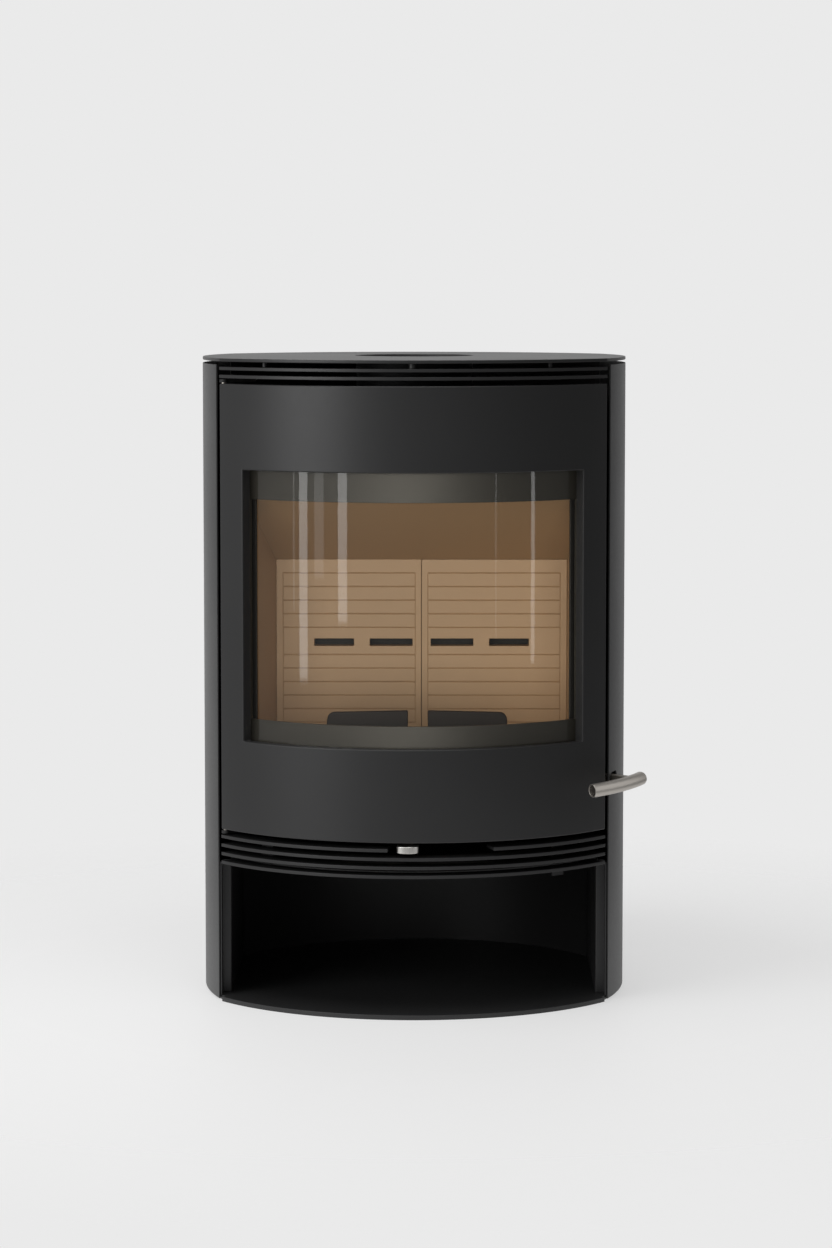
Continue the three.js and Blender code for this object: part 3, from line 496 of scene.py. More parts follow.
def painted(name, rgb, roughness, grain=0.9):
    """Sprayed matt paint: an even skin with a fine grain and slight changes of gloss."""
    finish = Finish(name)
    cloud = finish.noise(5.0, 3.0)
    mist = finish.noise(260.0, 2.0)
    finish.wire(finish.blend(cloud, opaque(rgb, 0.88), opaque(rgb, 1.12)), "Base Color")
    gloss = finish.spread(cloud, 0.3, 0.7, roughness - 0.025, roughness + 0.025)
    speck = finish.spread(mist, 0.3, 0.7, -0.02, 0.02)
    finish.wire(finish.maths("ADD", gloss, speck), "Roughness")
    coarse = finish.bump(finish.noise(420.0, 2.0), 0.02 * MM, 0.35 * grain)
    finish.wire(finish.bump(finish.noise(1700.0, 2.0), 0.012 * MM, 0.5 * grain, coarse), "Normal")
    return finish


def vermiculite(rgb, grain_rgb):
    """Pressed mineral board, with dark grains and flecks of one to three millimetres."""
    finish = Finish("vermiculite")
    cells = finish.add("TexVoronoi", {"Vector": finish.place, "Scale": 290.0, "Randomness": 1.0})
    grains = finish.spread(cells.outputs["Distance"], 0.2, 0.42, 1.0, 0.0)
    flecks = finish.spread(finish.noise(270.0, 2.0, 0.6), 0.5, 0.6)
    clouds = finish.spread(finish.noise(14.0, 3.0), 0.35, 0.7)
    base = finish.blend(clouds, opaque(rgb, 0.93), opaque(rgb, 1.06))
    speckled = finish.blend(finish.maths("MULTIPLY", grains, 0.8), base, opaque(grain_rgb))
    flecked = finish.maths("MULTIPLY", flecks, 0.85)
    finish.wire(finish.blend(flecked, speckled, opaque(grain_rgb, 1.1)), "Base Color")
    finish.set(roughness=0.95, specular_ior_level=0.2)
    rough = finish.bump(cells.outputs["Distance"], 0.25 * MM, 0.6)
    finish.wire(finish.bump(finish.noise(900.0, 3.0), 0.12 * MM, 0.6, rough), "Normal")
    finish.wire(finish.spread(cells.outputs["Distance"], 0.0, 1.0, 0.9, 1.0), "Roughness")


def cast_iron(rgb):
    """Sand-cast iron: a dull, slightly pitted skin."""
    finish = Finish("cast_iron")
    patches = finish.noise(30.0, 4.0)
    finish.wire(finish.blend(patches, opaque(rgb, 0.75), opaque(rgb, 1.3)), "Base Color")
    finish.wire(finish.spread(patches, 0.3, 0.7, 0.62, 0.78), "Roughness")
    pits = finish.bump(finish.noise(260.0, 4.0, 0.65), 0.3 * MM, 0.6)
    finish.wire(finish.bump(finish.noise(1100.0, 2.0), 0.08 * MM, 0.6, pits), "Normal")
    finish.set(metallic=0.35)


def woven_rope(rgb):
    """Plaited glass-fibre rope: strands that cross at a slant to the run."""
    finish = Finish("woven_rope")
    slant = finish.add("Mapping", {"Vector": finish.place, "Rotation": (0.0, math.radians(45), 0.0)})
    bands = {"Vector": slant.outputs["Vector"], "Scale": 170.0, "Distortion": 1.2, "Detail": 2.0}
    one_way = finish.add("TexWave", bands, bands_direction="X").outputs["Fac"]
    other_way = finish.add("TexWave", bands, bands_direction="Z").outputs["Fac"]
    plait = finish.maths("MAXIMUM", one_way, other_way)
    # The colour follows the same pattern as the bump, darker in the plait's valleys and lighter on its
    # ridges: this is painted shade between the strands, laid over the plait's pattern.
    finish.wire(finish.blend(plait, opaque(rgb, 0.45), opaque(rgb, 1.5)), "Base Color")
    finish.wire(finish.spread(plait, 0.0, 1.0, 1.0, 0.85), "Roughness")
    strands = finish.bump(plait, 0.7 * MM, 0.8)
    finish.wire(finish.bump(finish.noise(2200.0, 2.0), 0.1 * MM, 0.5, strands), "Normal")


def brushed_steel(name, rgb, roughness, contrast=0.13):
    """Stainless steel with fine upright brush lines and a faint warm cast."""
    finish = Finish(name)
    lines = finish.noise(1.0, 4.0, 0.6, finish.stretched((4200.0, 4200.0, 90.0)))
    finish.wire(finish.blend(lines, opaque(rgb, 1 - contrast), opaque(rgb, 1 + contrast)), "Base Color")
    finish.wire(finish.spread(lines, 0.3, 0.7, roughness - 0.05, roughness + 0.06), "Roughness")
    finish.wire(finish.bump(lines, 0.01 * MM, 0.5), "Normal")
    finish.set(metallic=1.0)


def clear_glass(tint):
    """Ceramic glass, thin enough to see straight through: clear with mirror reflections by angle."""
    finish = Finish("clear_glass")
    finish.tree.nodes.remove(finish.shader)
    see_through = finish.add("BsdfTransparent", {"Color": opaque(tint)})
    smear = finish.spread(finish.noise(9.0, 3.0), 0.3, 0.7, 0.025, 0.045)
    mirror = finish.add("BsdfGlossy", {"Color": WHITE, "Roughness": smear})
    edge = finish.add("Fresnel", {"IOR": 1.5}).outputs[0]
    back = finish.add("NewGeometry").outputs["Backfacing"]
    share = finish.maths("MULTIPLY", edge, finish.maths("SUBTRACT", 1.0, back))
    finish.show_mix(share, see_through, mirror)


def studio_floor(rgb):
    """A pale floor that fades into the backdrop some way from the stove."""
    finish = Finish("studio_floor")
    wander = finish.noise(3.0, 2.0)
    finish.wire(finish.blend(wander, opaque(rgb, 0.995), opaque(rgb, 1.005)), "Base Color")
    finish.set(roughness=0.6, specular_ior_level=0.25, emission_strength=FLOOR_GLOW)
    finish.set(emission_color=WHITE)
    distance = finish.add("VectorMath", {0: finish.place}, operation="LENGTH").outputs["Value"]
    fade = finish.spread(distance, FLOOR_SOLID, FLOOR_RADIUS)
    finish.show_mix(fade, finish.shader, finish.add("BsdfTransparent"))


class STOVE_OT_finishes(bpy.types.Operator):
    """Mixes the stove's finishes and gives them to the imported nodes"""

    bl_idname = "stove.finishes"
    bl_label = "Finishes"

    def execute(self, context):
        shades = context.scene.stove_colours
        painted("stove_paint", shades.paint, shades.paint_roughness)
        painted("dark_steel", shades.dark_steel, 0.6, 1.4)
        painted("frame_paint", shades.frame_steel, 0.5, 1.0)
        vermiculite(shades.board, shades.board_grain)
        cast_iron(shades.cast)
        woven_rope(shades.rope)
        brushed_steel("brushed_steel", shades.steel, 0.3)
        # The plugs' dark tone is painted shade for the hollow tube ends.
        brushed_steel("plug_steel", shades.plug, 0.5)
        brushed_steel("arm_steel", shades.arm, 0.5)
        brushed_steel("knob_steel", shades.knob, 0.3)
        clear_glass(shades.glass_tint)
        studio_floor(shades.floor)
        finish_of = {
            "black_paint": "stove_paint",
            "inner_steel": "dark_steel",
            "vermiculite": "vermiculite",
            "cast_iron": "cast_iron",
            "glass": "clear_glass",
            "rope": "woven_rope",
            "brushed_steel": "brushed_steel",
        }
        for node, piece in frame["nodes"].items():
            piece.data.materials.clear()
            piece.data.materials.append(bpy.data.materials[finish_of[SLOT_OF[node]]])
        return {"FINISHED"}


# ---------- base, panels and log store ----------

PLAN_INSET = 3.3 * MM
LIP_DEPTH = 42 * MM
ARM_SLOT_Y = (-136 * MM, -104 * MM)
ARM_SLOT_WIDTH = 15 * MM
VENT_LOW = 730 * MM
VENT_PITCH = 12 * MM
VENT_HEIGHT = 5 * MM
VENT_HALF_WIDTH = 68 * MM
LAP_DEPTHS = (1.4 * MM, 3.2 * MM)
LAP_ROOT = 6 * MM
STORE_HALF_WIDTH = 230.7 * MM
JAMB_Y = -121 * MM
LINER_SHEET = 1.5 * MM


class STOVE_OT_base_plate(bpy.types.Operator):
    """Cuts the base plate, with its lip in front"""

    bl_idname = "stove.base_plate"
    bl_label = "Base plate"

    def execute(self, context):
        sizes = context.scene.stove_sizes
        low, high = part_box("base_plate")
        heights = (low.z, high.z)
        lip_radius = FRONT_CENTRE_Y - low.y - 0.05 * MM
        plate = plan_plate("base_plate_cut", PLAN_INSET, heights)
        half_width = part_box("door_panel")[1].x
        reach = front_angle(lip_radius, half_width)
        lip = bent_bar("lip", (lip_radius - LIP_DEPTH, lip_radius), heights, (-reach, reach), steps=80)
        combine(plate, lip, "UNION")
        ease(plate, sizes.plate_edge)
        hand_over(plate, "stove_paint", "base_plate")
        return {"FINISHED"}


class STOVE_OT_side_panels(bpy.types.Operator):
    """Rolls the two side panels, the right one with a slot for the handle's arm"""

    bl_idname = "stove.side_panels"
    bl_label = "Side panels"

    def execute(self, context):
        sizes = context.scene.stove_sizes
        for side, name in ((-1, "side_panel_left"), (1, "side_panel_right")):
            low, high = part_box(name)
            reach = along(SIDE_RADIUS, high.y)
            sheet = blank(f"{name}_rolled", reach, (low.z, high.z))
            apply(sheet, "SOLIDIFY", thickness=PANEL_SHEET, offset=-1)
            if side > 0:
                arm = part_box("handle_arm")
                middle = (arm[0].z + arm[1].z) / 2
                half = ARM_SLOT_WIDTH / 2
                slot = slot_tool("arm_slot", ARM_SLOT_Y, (middle - half, middle + half))
                combine(sheet, slot)
            ease(sheet, sizes.cut_edge, 2)
            slice_across(sheet, reach, sizes.slice_width)
            roll(sheet, SIDE_RADIUS, (side * SIDE_CENTRE_X, 0, 0), side * math.pi / 2)
            hand_over(sheet, "stove_paint", name)
        return {"FINISHED"}


class STOVE_OT_rear_panel(bpy.types.Operator):
    """Rolls the rear panel and cuts its rows of warm air outlets"""

    bl_idname = "stove.rear_panel"
    bl_label = "Rear panel"

    vent_rows: IntProperty(name="Rows", description="Rows of outlets", default=5)

    def execute(self, context):
        sizes = context.scene.stove_sizes
        low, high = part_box("rear_panel")
        radius = high.y + FRONT_CENTRE_Y - 0.03 * MM
        reach = along(radius, high.x)
        sheet = blank("rear_panel_rolled", reach, (low.z, high.z))
        apply(sheet, "SOLIDIFY", thickness=PANEL_SHEET, offset=-1)
        half = along(radius, VENT_HALF_WIDTH)
        for row in range(self.vent_rows):
            bottom = VENT_LOW + row * VENT_PITCH
            combine(sheet, slot_tool("vent", (-half, half), (bottom, bottom + VENT_HEIGHT)))
        ease(sheet, sizes.cut_edge, 2)
        for side in (-1, 1):
            ends = sorted((side * (reach - LAP_ROOT), side * (reach + sizes.rear_lap)))
            lap = bar("lap", (ends[0], LAP_DEPTHS[0], low.z), (ends[1], LAP_DEPTHS[1], high.z))
            combine(sheet, lap, "UNION")
        slice_across(sheet, reach, sizes.slice_width)
        roll(sheet, radius, (0, -FRONT_CENTRE_Y, 0), math.pi)
        hand_over(sheet, "stove_paint", "rear_panel")
        return {"FINISHED"}


class STOVE_OT_log_store(bpy.types.Operator):
    """Bends the log store's liner from one sheet, with jambs turned out in front"""

    bl_idname = "stove.log_store"
    bl_label = "Log store"

    def execute(self, context):
        low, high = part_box("store_liner")
        back_radius = high.y - 0.8 * MM
        fold_x = high.x - 1.0 * MM
        liner = blank("store_liner_bent", 1 * MM, (low.z, high.z))
        liner.location = (-fold_x - 1 * MM, low.y, 0)
        settle(liner)
        edit(liner)
        choose(liner, "VERT", lambda p: p.x < -fold_x - 0.5 * MM)
        bpy.ops.mesh.delete(type="VERT")
        bpy.ops.mesh.select_all(action="SELECT")
        turn = math.acos(STORE_HALF_WIDTH / back_radius)
        spring_y = back_radius * math.sin(turn)

        def run(x, y):
            bpy.ops.mesh.extrude_region_move(TRANSFORM_OT_translate={"value": (x, y, 0)})

        run(0, JAMB_Y - low.y)
        run(fold_x - STORE_HALF_WIDTH, 0)
        run(0, spring_y - JAMB_Y)
        bpy.ops.mesh.spin(steps=72, angle=math.pi - 2 * turn, center=(0, 0, 0), axis=(0, 0, 1))
        run(0, JAMB_Y - spring_y)
        run(fold_x - STORE_HALF_WIDTH, 0)
        run(0, low.y - JAMB_Y)
        close_edit()
        ease(liner, LINER_SHEET, 3)
        apply(liner, "SOLIDIFY", thickness=LINER_SHEET, offset=0, use_even_offset=True)
        ease(liner, 0.3 * MM, 2, 60)
        hand_over(liner, "stove_paint", "store_liner")
        return {"FINISHED"}


# ---------- fins, top plate and flue ----------

FIN_DEPTH = 26 * MM
FIN_STEP = 1.2
FLUE_HOLE_RADIUS = 77 * MM
COLLAR_RADII = (72 * MM, 75 * MM)
COLLAR_FOOT = 4 * MM


class STOVE_OT_fins(bpy.types.Operator):
    """Bends the fins above and below the door"""

    bl_idname = "stove.fins"
    bl_label = "Fins"

    def execute(self, context):
        sizes = context.scene.stove_sizes
        names = [name for name in frame["nodes"] if "_fin_" in name]
        for name in names:
            low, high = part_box(name)
            outer = FRONT_CENTRE_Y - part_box("lower_fin_2")[0].y - 0.03 * MM
            inner = outer - FIN_DEPTH
            angles = (
                front_angle(outer if low.x < 0 else inner, low.x),
                front_angle(outer if high.x > 0 else inner, high.x),
            )
            steps = max(12, int((angles[1] - angles[0]) / FIN_STEP))
            fin = bent_bar(f"{name}_bent", (inner, outer), (low.z, high.z), angles, steps=steps)
            ease(fin, sizes.cut_edge, 3)
            hand_over(fin, "stove_paint", name)
        return {"FINISHED"}


class STOVE_OT_top_plate(bpy.types.Operator):
    """Cuts the top plate, bores it for the flue and turns the posts that carry it"""

    bl_idname = "stove.top_plate"
    bl_label = "Top plate"

    def execute(self, context):
        sizes = context.scene.stove_sizes
        low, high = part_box("top_plate")
        plate = plan_plate("top_plate_cut", 0.05 * MM, (low.z, high.z), FRONT_CENTRE_Y - low.y)
        through = (low.z - OVERRUN, high.z + OVERRUN)
        bore = rod("bore", (0, FLUE_CENTRE_Y), FLUE_HOLE_RADIUS, through, 160)
        combine(plate, bore)
        ease(plate, sizes.plate_edge)
        hand_over(plate, "stove_paint", "top_plate")
        for side in ("left", "middle", "right"):
            low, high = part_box(f"top_post_{side}")
            centre = (low + high) / 2
            post = rod(f"top_post_{side}_turned", centre, (high.x - low.x) / 2, (low.z, high.z), 32)
            inset_ends(post, low.z, high.z, 0.7 * MM)
            ease(post, 0.35 * MM, 2)
            hand_over(post, "stove_paint", f"top_post_{side}")
        return {"FINISHED"}


class STOVE_OT_flue_collar(bpy.types.Operator):
    """Turns the socket for the flue pipe, on its foot"""

    bl_idname = "stove.flue_collar"
    bl_label = "Flue collar"

    def execute(self, context):
        low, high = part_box("flue_collar")
        foot_radius = (high.x - low.x) / 2
        centre = (0, FLUE_CENTRE_Y)
        bore_radius, radius = COLLAR_RADII
        collar = rod("flue_collar_turned", centre, radius, (low.z, high.z), 128)
        foot = rod("foot", centre, foot_radius, (low.z, low.z + COLLAR_FOOT), 128)
        combine(collar, foot, "UNION")
        combine(collar, rod("bore", centre, bore_radius, (low.z - OVERRUN, high.z + OVERRUN), 128))
        ease(collar, 0.6 * MM, 3)
        hand_over(collar, "dark_steel", "flue_collar")
        return {"FINISHED"}


# ---------- firebox ----------

FACE_SHEET = 2.7 * MM
MOUTH_HALF_WIDTH = 196 * MM
MOUTH_Z = (234 * MM, 700 * MM)
MOUTH_CORNER = 9 * MM
GROOVE_LOW = 324.3 * MM
GROOVE_COUNT = 12
GROOVE_SINK = 0.35
AIR_SLOT_Z = 431.6 * MM
AIR_SLOT_CLEARANCE = 7 * MM
MARGIN_INSIDE = 8 * MM
MARGIN_OUTSIDE = 9 * MM
GRATE_PITCH = 16 * MM
GRATE_GAP = 8 * MM
GRATE_RIM = 14 * MM


class STOVE_OT_firebox(bpy.types.Operator):
    """Makes the firebox's curved face and eases the sheet behind it"""

    bl_idname = "stove.firebox"
    bl_label = "Firebox"

    def execute(self, context):
        sizes = context.scene.stove_sizes
        low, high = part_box("firebox_face")
        radius = FRONT_CENTRE_Y - low.y - 0.03 * MM
        reach = along(radius, high.x)
        face = blank("firebox_face_rolled", reach, (low.z, high.z))
        apply(face, "SOLIDIFY", thickness=FACE_SHEET, offset=-1)
        opening = along(radius, MOUTH_HALF_WIDTH)
        tool = bar("mouth", (-opening, -20 * MM, MOUTH_Z[0]), (opening, 20 * MM, MOUTH_Z[1]))
        ease(tool, MOUTH_CORNER, 6)
        combine(face, tool)
        ease(face, sizes.cut_edge, 2)
        slice_across(face, reach, sizes.slice_width)
        roll(face, radius)
        hand_over(face, "dark_steel", "firebox_face")
        for name in ("firebox_shell", "hearth_plate", "upper_baffle", "ash_pan"):
            hand_over(eased_copy(name, 0.5 * MM), "dark_steel", name)
        return {"FINISHED"}


class STOVE_OT_back_boards(bpy.types.Operator):
    """Cuts the two back boards and presses the grooves into them, with no groove at the air slots' level"""

    bl_idname = "stove.back_boards"
    bl_label = "Back boards"

    def execute(self, context):
        sizes = context.scene.stove_sizes
        for side, name in ((-1, "back_board_left"), (1, "back_board_right")):
            board = eased_copy(name, sizes.board_edge)
            low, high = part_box(name)
            inner, outer = (high.x, low.x) if side < 0 else (low.x, high.x)
            ends = sorted((inner + side * MARGIN_INSIDE, outer - side * MARGIN_OUTSIDE))
            half = sizes.groove_width / 2
            sunk = low.y + half * GROOVE_SINK
            levels = [GROOVE_LOW + index * sizes.groove_pitch for index in range(GROOVE_COUNT)]
            for z in levels:
                if abs(z - AIR_SLOT_Z) < AIR_SLOT_CLEARANCE:
                    continue
                groove = bar("groove", (ends[0], -half, -half), (ends[1], half, half))
                groove.rotation_euler.x = math.pi / 4
                groove.location = (0, sunk, z)
                settle(groove)
                combine(board, groove)
            half = sizes.border_width / 2
            sunk = low.y + half * GROOVE_SINK
            for x in ends:
                border = bar("border", (-half, -half, levels[0]), (half, half, levels[-1]))
                border.rotation_euler.z = math.pi / 4
                border.location = (x, sunk, 0)
                settle(border)
                combine(board, border)
            hand_over(board, "vermiculite", name)
        return {"FINISHED"}


class STOVE_OT_lining(bpy.types.Operator):
    """Eases the side boards, the floor of the fire and the sloping baffle"""

    bl_idname = "stove.lining"
    bl_label = "Lining"

    def execute(self, context):
        sizes = context.scene.stove_sizes
        for name in ("side_board_left", "side_board_right", "floor_board_left", "floor_board_right"):
            hand_over(eased_copy(name, sizes.board_edge), "vermiculite", name)
        hand_over(eased_copy("lower_baffle", sizes.board_edge), "vermiculite", "lower_baffle")
        return {"FINISHED"}


class STOVE_OT_castings(bpy.types.Operator):
    """Makes the grate and the log guards with the soft edges of castings"""

    bl_idname = "stove.castings"
    bl_label = "Castings"

    def execute(self, context):
        sizes = context.scene.stove_sizes
        low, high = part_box("grate")
        centre = (low + high) / 2
        radius = (high.x - low.x) / 2
        grate = rod("grate_cast", centre, radius, (low.z, high.z), 96)
        for index in range(-4, 5):
            x = index * GRATE_PITCH
            half = GRATE_GAP / 2
            reach = math.sqrt((radius - GRATE_RIM) ** 2 - x * x)
            front_corner = (x - half, centre.y - reach, low.z - 1 * MM)
            back_corner = (x + half, centre.y + reach, high.z + 1 * MM)
            combine(grate, bar("gap", front_corner, back_corner))
        ease(grate, 1.2 * MM, 2)
        hand_over(grate, "cast_iron", "grate")
        for name in ("log_guard_left", "log_guard_right"):
            hand_over(eased_copy(name, sizes.cast_edge, 3), "cast_iron", name)
        return {"FINISHED"}


# ---------- door ----------

EDGE_FOLD = 15 * MM
WINDOW_FOLD = 12 * MM
DOOR_SHEET = 3 * MM
FRAME_SHEET = 4 * MM
ROPE_LAY_RADIUS = FRAME_RADIUS - 4.3 * MM - 3.5 * MM
ROPE_INSET = 5 * MM
ROPE_CORNER = 14 * MM
CATCH_AND_BRACKETS = (
    "hinge_bracket_upper",
    "hinge_bracket_lower",
    "striker",
    "lock_bracket",
    "latch_finger",
)


def framed_sheet(name, half_width, heights, hole_half_width, hole_heights):
    """A flat sheet without thickness with a square hole, still in one skin."""
    sheet = blank(name, half_width, heights)
    edit(sheet)
    for x in (-hole_half_width, hole_half_width):
        bpy.ops.mesh.select_all(action="SELECT")
        bpy.ops.mesh.bisect(plane_co=(x, 0, 0), plane_no=(1, 0, 0))
    for z in hole_heights:
        bpy.ops.mesh.select_all(action="SELECT")
        bpy.ops.mesh.bisect(plane_co=(0, 0, z), plane_no=(0, 0, 1))
    low, high = hole_heights
    choose(sheet, "FACE", lambda p: abs(p.x) < hole_half_width and low < p.z < high)
    bpy.ops.mesh.delete(type="FACE")
    close_edit(outward=False)
    return sheet


class STOVE_OT_door_panel(bpy.types.Operator):
    """Folds the door's sheet round its edge and round the window, then rolls it"""

    bl_idname = "stove.door_panel"
    bl_label = "Door panel"

    def execute(self, context):
        sizes = context.scene.stove_sizes
        low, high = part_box("door_panel")
        reach = along(FRONT_RADIUS, high.x)
        window = along(FRONT_RADIUS, WINDOW_HALF_WIDTH)
        door = framed_sheet("door_panel_folded", reach, (low.z, high.z), window, WINDOW_Z)
        slack = END_SLACK

        def outer_edge(p):
            return abs(p.x) > reach - slack or p.z < low.z + slack or p.z > high.z - slack

        def window_edge(p):
            at_side = abs(abs(p.x) - window) < slack and WINDOW_Z[0] - slack < p.z < WINDOW_Z[1] + slack
            at_level = min(abs(p.z - z) for z in WINDOW_Z) < slack and abs(p.x) < window + slack
            return at_side or at_level

        edit(door)
        choose(door, "EDGE", outer_edge)
        bpy.ops.mesh.extrude_region_move(TRANSFORM_OT_translate={"value": (0, EDGE_FOLD, 0)})
        choose(door, "EDGE", lambda p: window_edge(p) and abs(p.y) < slack)
        bpy.ops.mesh.extrude_region_move(TRANSFORM_OT_translate={"value": (0, WINDOW_FOLD, 0)})
        close_edit(outward=False)
        ease(door, sizes.sheet_bend, 4)
        apply(door, "SOLIDIFY", thickness=DOOR_SHEET, offset=-1, use_even_offset=True)
        ease(door, 0.3 * MM, 2, 60)
        slice_across(door, reach, sizes.slice_width)
        roll(door, FRONT_RADIUS)
        hand_over(door, "stove_paint", "door_panel")
        return {"FINISHED"}


class STOVE_OT_window(bpy.types.Operator):
    """Makes the glass, the strip it beds on and the plate that clamps it"""

    bl_idname = "stove.window"
    bl_label = "Window"

    def execute(self, context):
        sizes = context.scene.stove_sizes
        low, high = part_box("glass_pane")
        reach = front_angle(GLASS_RADIUS, high.x)
        radii = (GLASS_RADIUS - GLASS_THICKNESS, GLASS_RADIUS)
        pane = bent_bar("glass_pane_bent", radii, (low.z, high.z), (-reach, reach), steps=160)
        ease(pane, 0.5 * MM, 2)
        hand_over(pane, "clear_glass", "glass_pane")
        low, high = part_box("glass_seal")
        reach = along(SEAL_RADIUS, high.x)
        half_width = WINDOW_HALF_WIDTH * SEAL_RADIUS / FRONT_RADIUS + SEAL_CLEARANCE
        window = along(SEAL_RADIUS, half_width)
        heights = (WINDOW_Z[0] - SEAL_CLEARANCE, WINDOW_Z[1] + SEAL_CLEARANCE)
        seal = framed_sheet("glass_seal_laid", reach, (low.z, high.z), window, heights)
        apply(seal, "SOLIDIFY", thickness=SEAL_THICKNESS, offset=-1)
        ease(seal, 0.6 * MM, 2)
        slice_across(seal, reach, sizes.slice_width)
        roll(seal, SEAL_RADIUS)
        hand_over(seal, "woven_rope", "glass_seal")
        low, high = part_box("door_inner_frame")
        reach = along(FRAME_RADIUS, high.x)
        sight = along(FRAME_RADIUS, SIGHT_HALF_WIDTH)
        plate = framed_sheet("door_inner_frame_rolled", reach, (low.z, high.z), sight, SIGHT_Z)
        apply(plate, "SOLIDIFY", thickness=FRAME_SHEET, offset=-1)
        ease(plate, 0.6 * MM, 3)
        slice_across(plate, reach, sizes.slice_width)
        roll(plate, FRAME_RADIUS)
        hand_over(plate, "frame_paint", "door_inner_frame")
        return {"FINISHED"}


class STOVE_OT_door_seal(bpy.types.Operator):
    """Lays the woven rope round the back of the door"""

    bl_idname = "stove.door_seal"
    bl_label = "Door seal"

    def execute(self, context):
        sizes = context.scene.stove_sizes
        low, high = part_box("door_seal")
        reach = along(ROPE_LAY_RADIUS, high.x) - ROPE_INSET
        rope = blank("door_seal_laid", reach, (low.z + ROPE_INSET, high.z - ROPE_INSET))
        edit(rope)
        bpy.ops.mesh.bevel(offset=ROPE_CORNER, segments=6, affect="VERTICES")
        bpy.ops.mesh.select_all(action="SELECT")
        bpy.ops.mesh.delete(type="ONLY_FACE")
        bpy.ops.mesh.select_all(action="SELECT")
        bpy.ops.mesh.subdivide(number_cuts=1)
        close_edit(outward=False)
        slice_across(rope, reach, sizes.slice_width)
        roll(rope, ROPE_LAY_RADIUS)
        bpy.ops.object.convert(target="CURVE")
        rope = bpy.context.object
        rope.data.bevel_depth = sizes.rope_radius
        rope.data.bevel_resolution = 4
        bpy.ops.object.convert(target="MESH")
        rope = bpy.context.object
        hand_over(rope, "woven_rope", "door_seal", 60)
        return {"FINISHED"}


class STOVE_OT_hinges(bpy.types.Operator):
    """Makes the hinge pins, their brackets and the catch on the door"""

    bl_idname = "stove.hinges"
    bl_label = "Hinges and catch"

    def execute(self, context):
        for name in ("hinge_pin_upper", "hinge_pin_lower"):
            low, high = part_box(name)
            pin = rod(f"{name}_turned", (low + high) / 2, (high.x - low.x) / 2, (low.z, high.z), 32)
            inset_ends(pin, low.z, high.z, 0.8 * MM)
            ease(pin, 0.5 * MM, 3)
            hand_over(pin, "brushed_steel", name)
        for name in CATCH_AND_BRACKETS:
            hand_over(eased_copy(name, 0.4 * MM), "dark_steel", name)
        return {"FINISHED"}


# ---------- handle ----------

TUBE_RADIUS = 8.5 * MM
TUBE_BORE = 7 * MM
TUBE_START = Vector((221.3, -215, 276.1)) * MM
TUBE_END = Vector((285, -149, 283.2)) * MM
TUBE_END_HEADING = math.radians(62)


TUBE_CHORD = TUBE_END - TUBE_START
TUBE_HEADING = math.atan2(TUBE_CHORD.y, TUBE_CHORD.x)
TUBE_RISE = math.atan2(TUBE_CHORD.z, TUBE_CHORD.xy.length)
TUBE_SWEEP = 2 * (TUBE_END_HEADING - TUBE_HEADING)
TUBE_BEND_RADIUS = TUBE_CHORD.xy.length / (2 * math.sin(TUBE_SWEEP / 2))
TUBE_SAGITTA = TUBE_BEND_RADIUS * (1 - math.cos(TUBE_SWEEP / 2))
PLUG_RADIUS = TUBE_BORE - 0.3 * MM
PLUG_LENGTH = 6 * MM


def round_stock(name, radius, start, end, steps):
    """Round bar lying along X between two lengths along the handle, sliced for bending."""
    deselect()
    bpy.ops.mesh.primitive_cylinder_add(
        vertices=64,
        radius=radius,
        depth=end - start,
        rotation=(0, math.pi / 2, 0),
        location=((start + end) / 2, 0, 0),
    )
    stock = settle(added(name))
    edit(stock)
    for index in range(1, steps):
        bpy.ops.mesh.select_all(action="SELECT")
        x = start + (end - start) * index / steps
        bpy.ops.mesh.bisect(plane_co=(x, 0, 0), plane_no=(1, 0, 0))
    close_edit(outward=False)
    return stock


def set_on_handle(piece):
    """Tilts and turns a piece drawn about the handle's middle, and sets it in its place."""
    piece.rotation_euler.y = -TUBE_RISE
    settle(piece)
    piece.rotation_euler.z = TUBE_HEADING
    piece.location = (TUBE_START + TUBE_END) / 2
    return settle(piece)


def bend_to_handle(piece):
    """Bends stock drawn about the handle's middle, and sets it at the handle's place and tilt."""
    extent = max(v.co.x for v in piece.data.vertices) - min(v.co.x for v in piece.data.vertices)
    angle = extent / TUBE_BEND_RADIUS
    apply(piece, "SIMPLE_DEFORM", deform_method="BEND", deform_axis="Z", angle=angle)
    piece.location.y = -TUBE_SAGITTA
    return set_on_handle(settle(piece))


def slide_to_handle(piece, middle):
    """Sets a short plug on the handle's arc at a length from its middle."""
    angle = middle / TUBE_BEND_RADIUS
    piece.location.x = -middle
    settle(piece)
    piece.rotation_euler.z = angle
    x = TUBE_BEND_RADIUS * math.sin(angle)
    piece.location = (x, TUBE_BEND_RADIUS * (1 - math.cos(angle)) - TUBE_SAGITTA, 0)
    return set_on_handle(settle(piece))


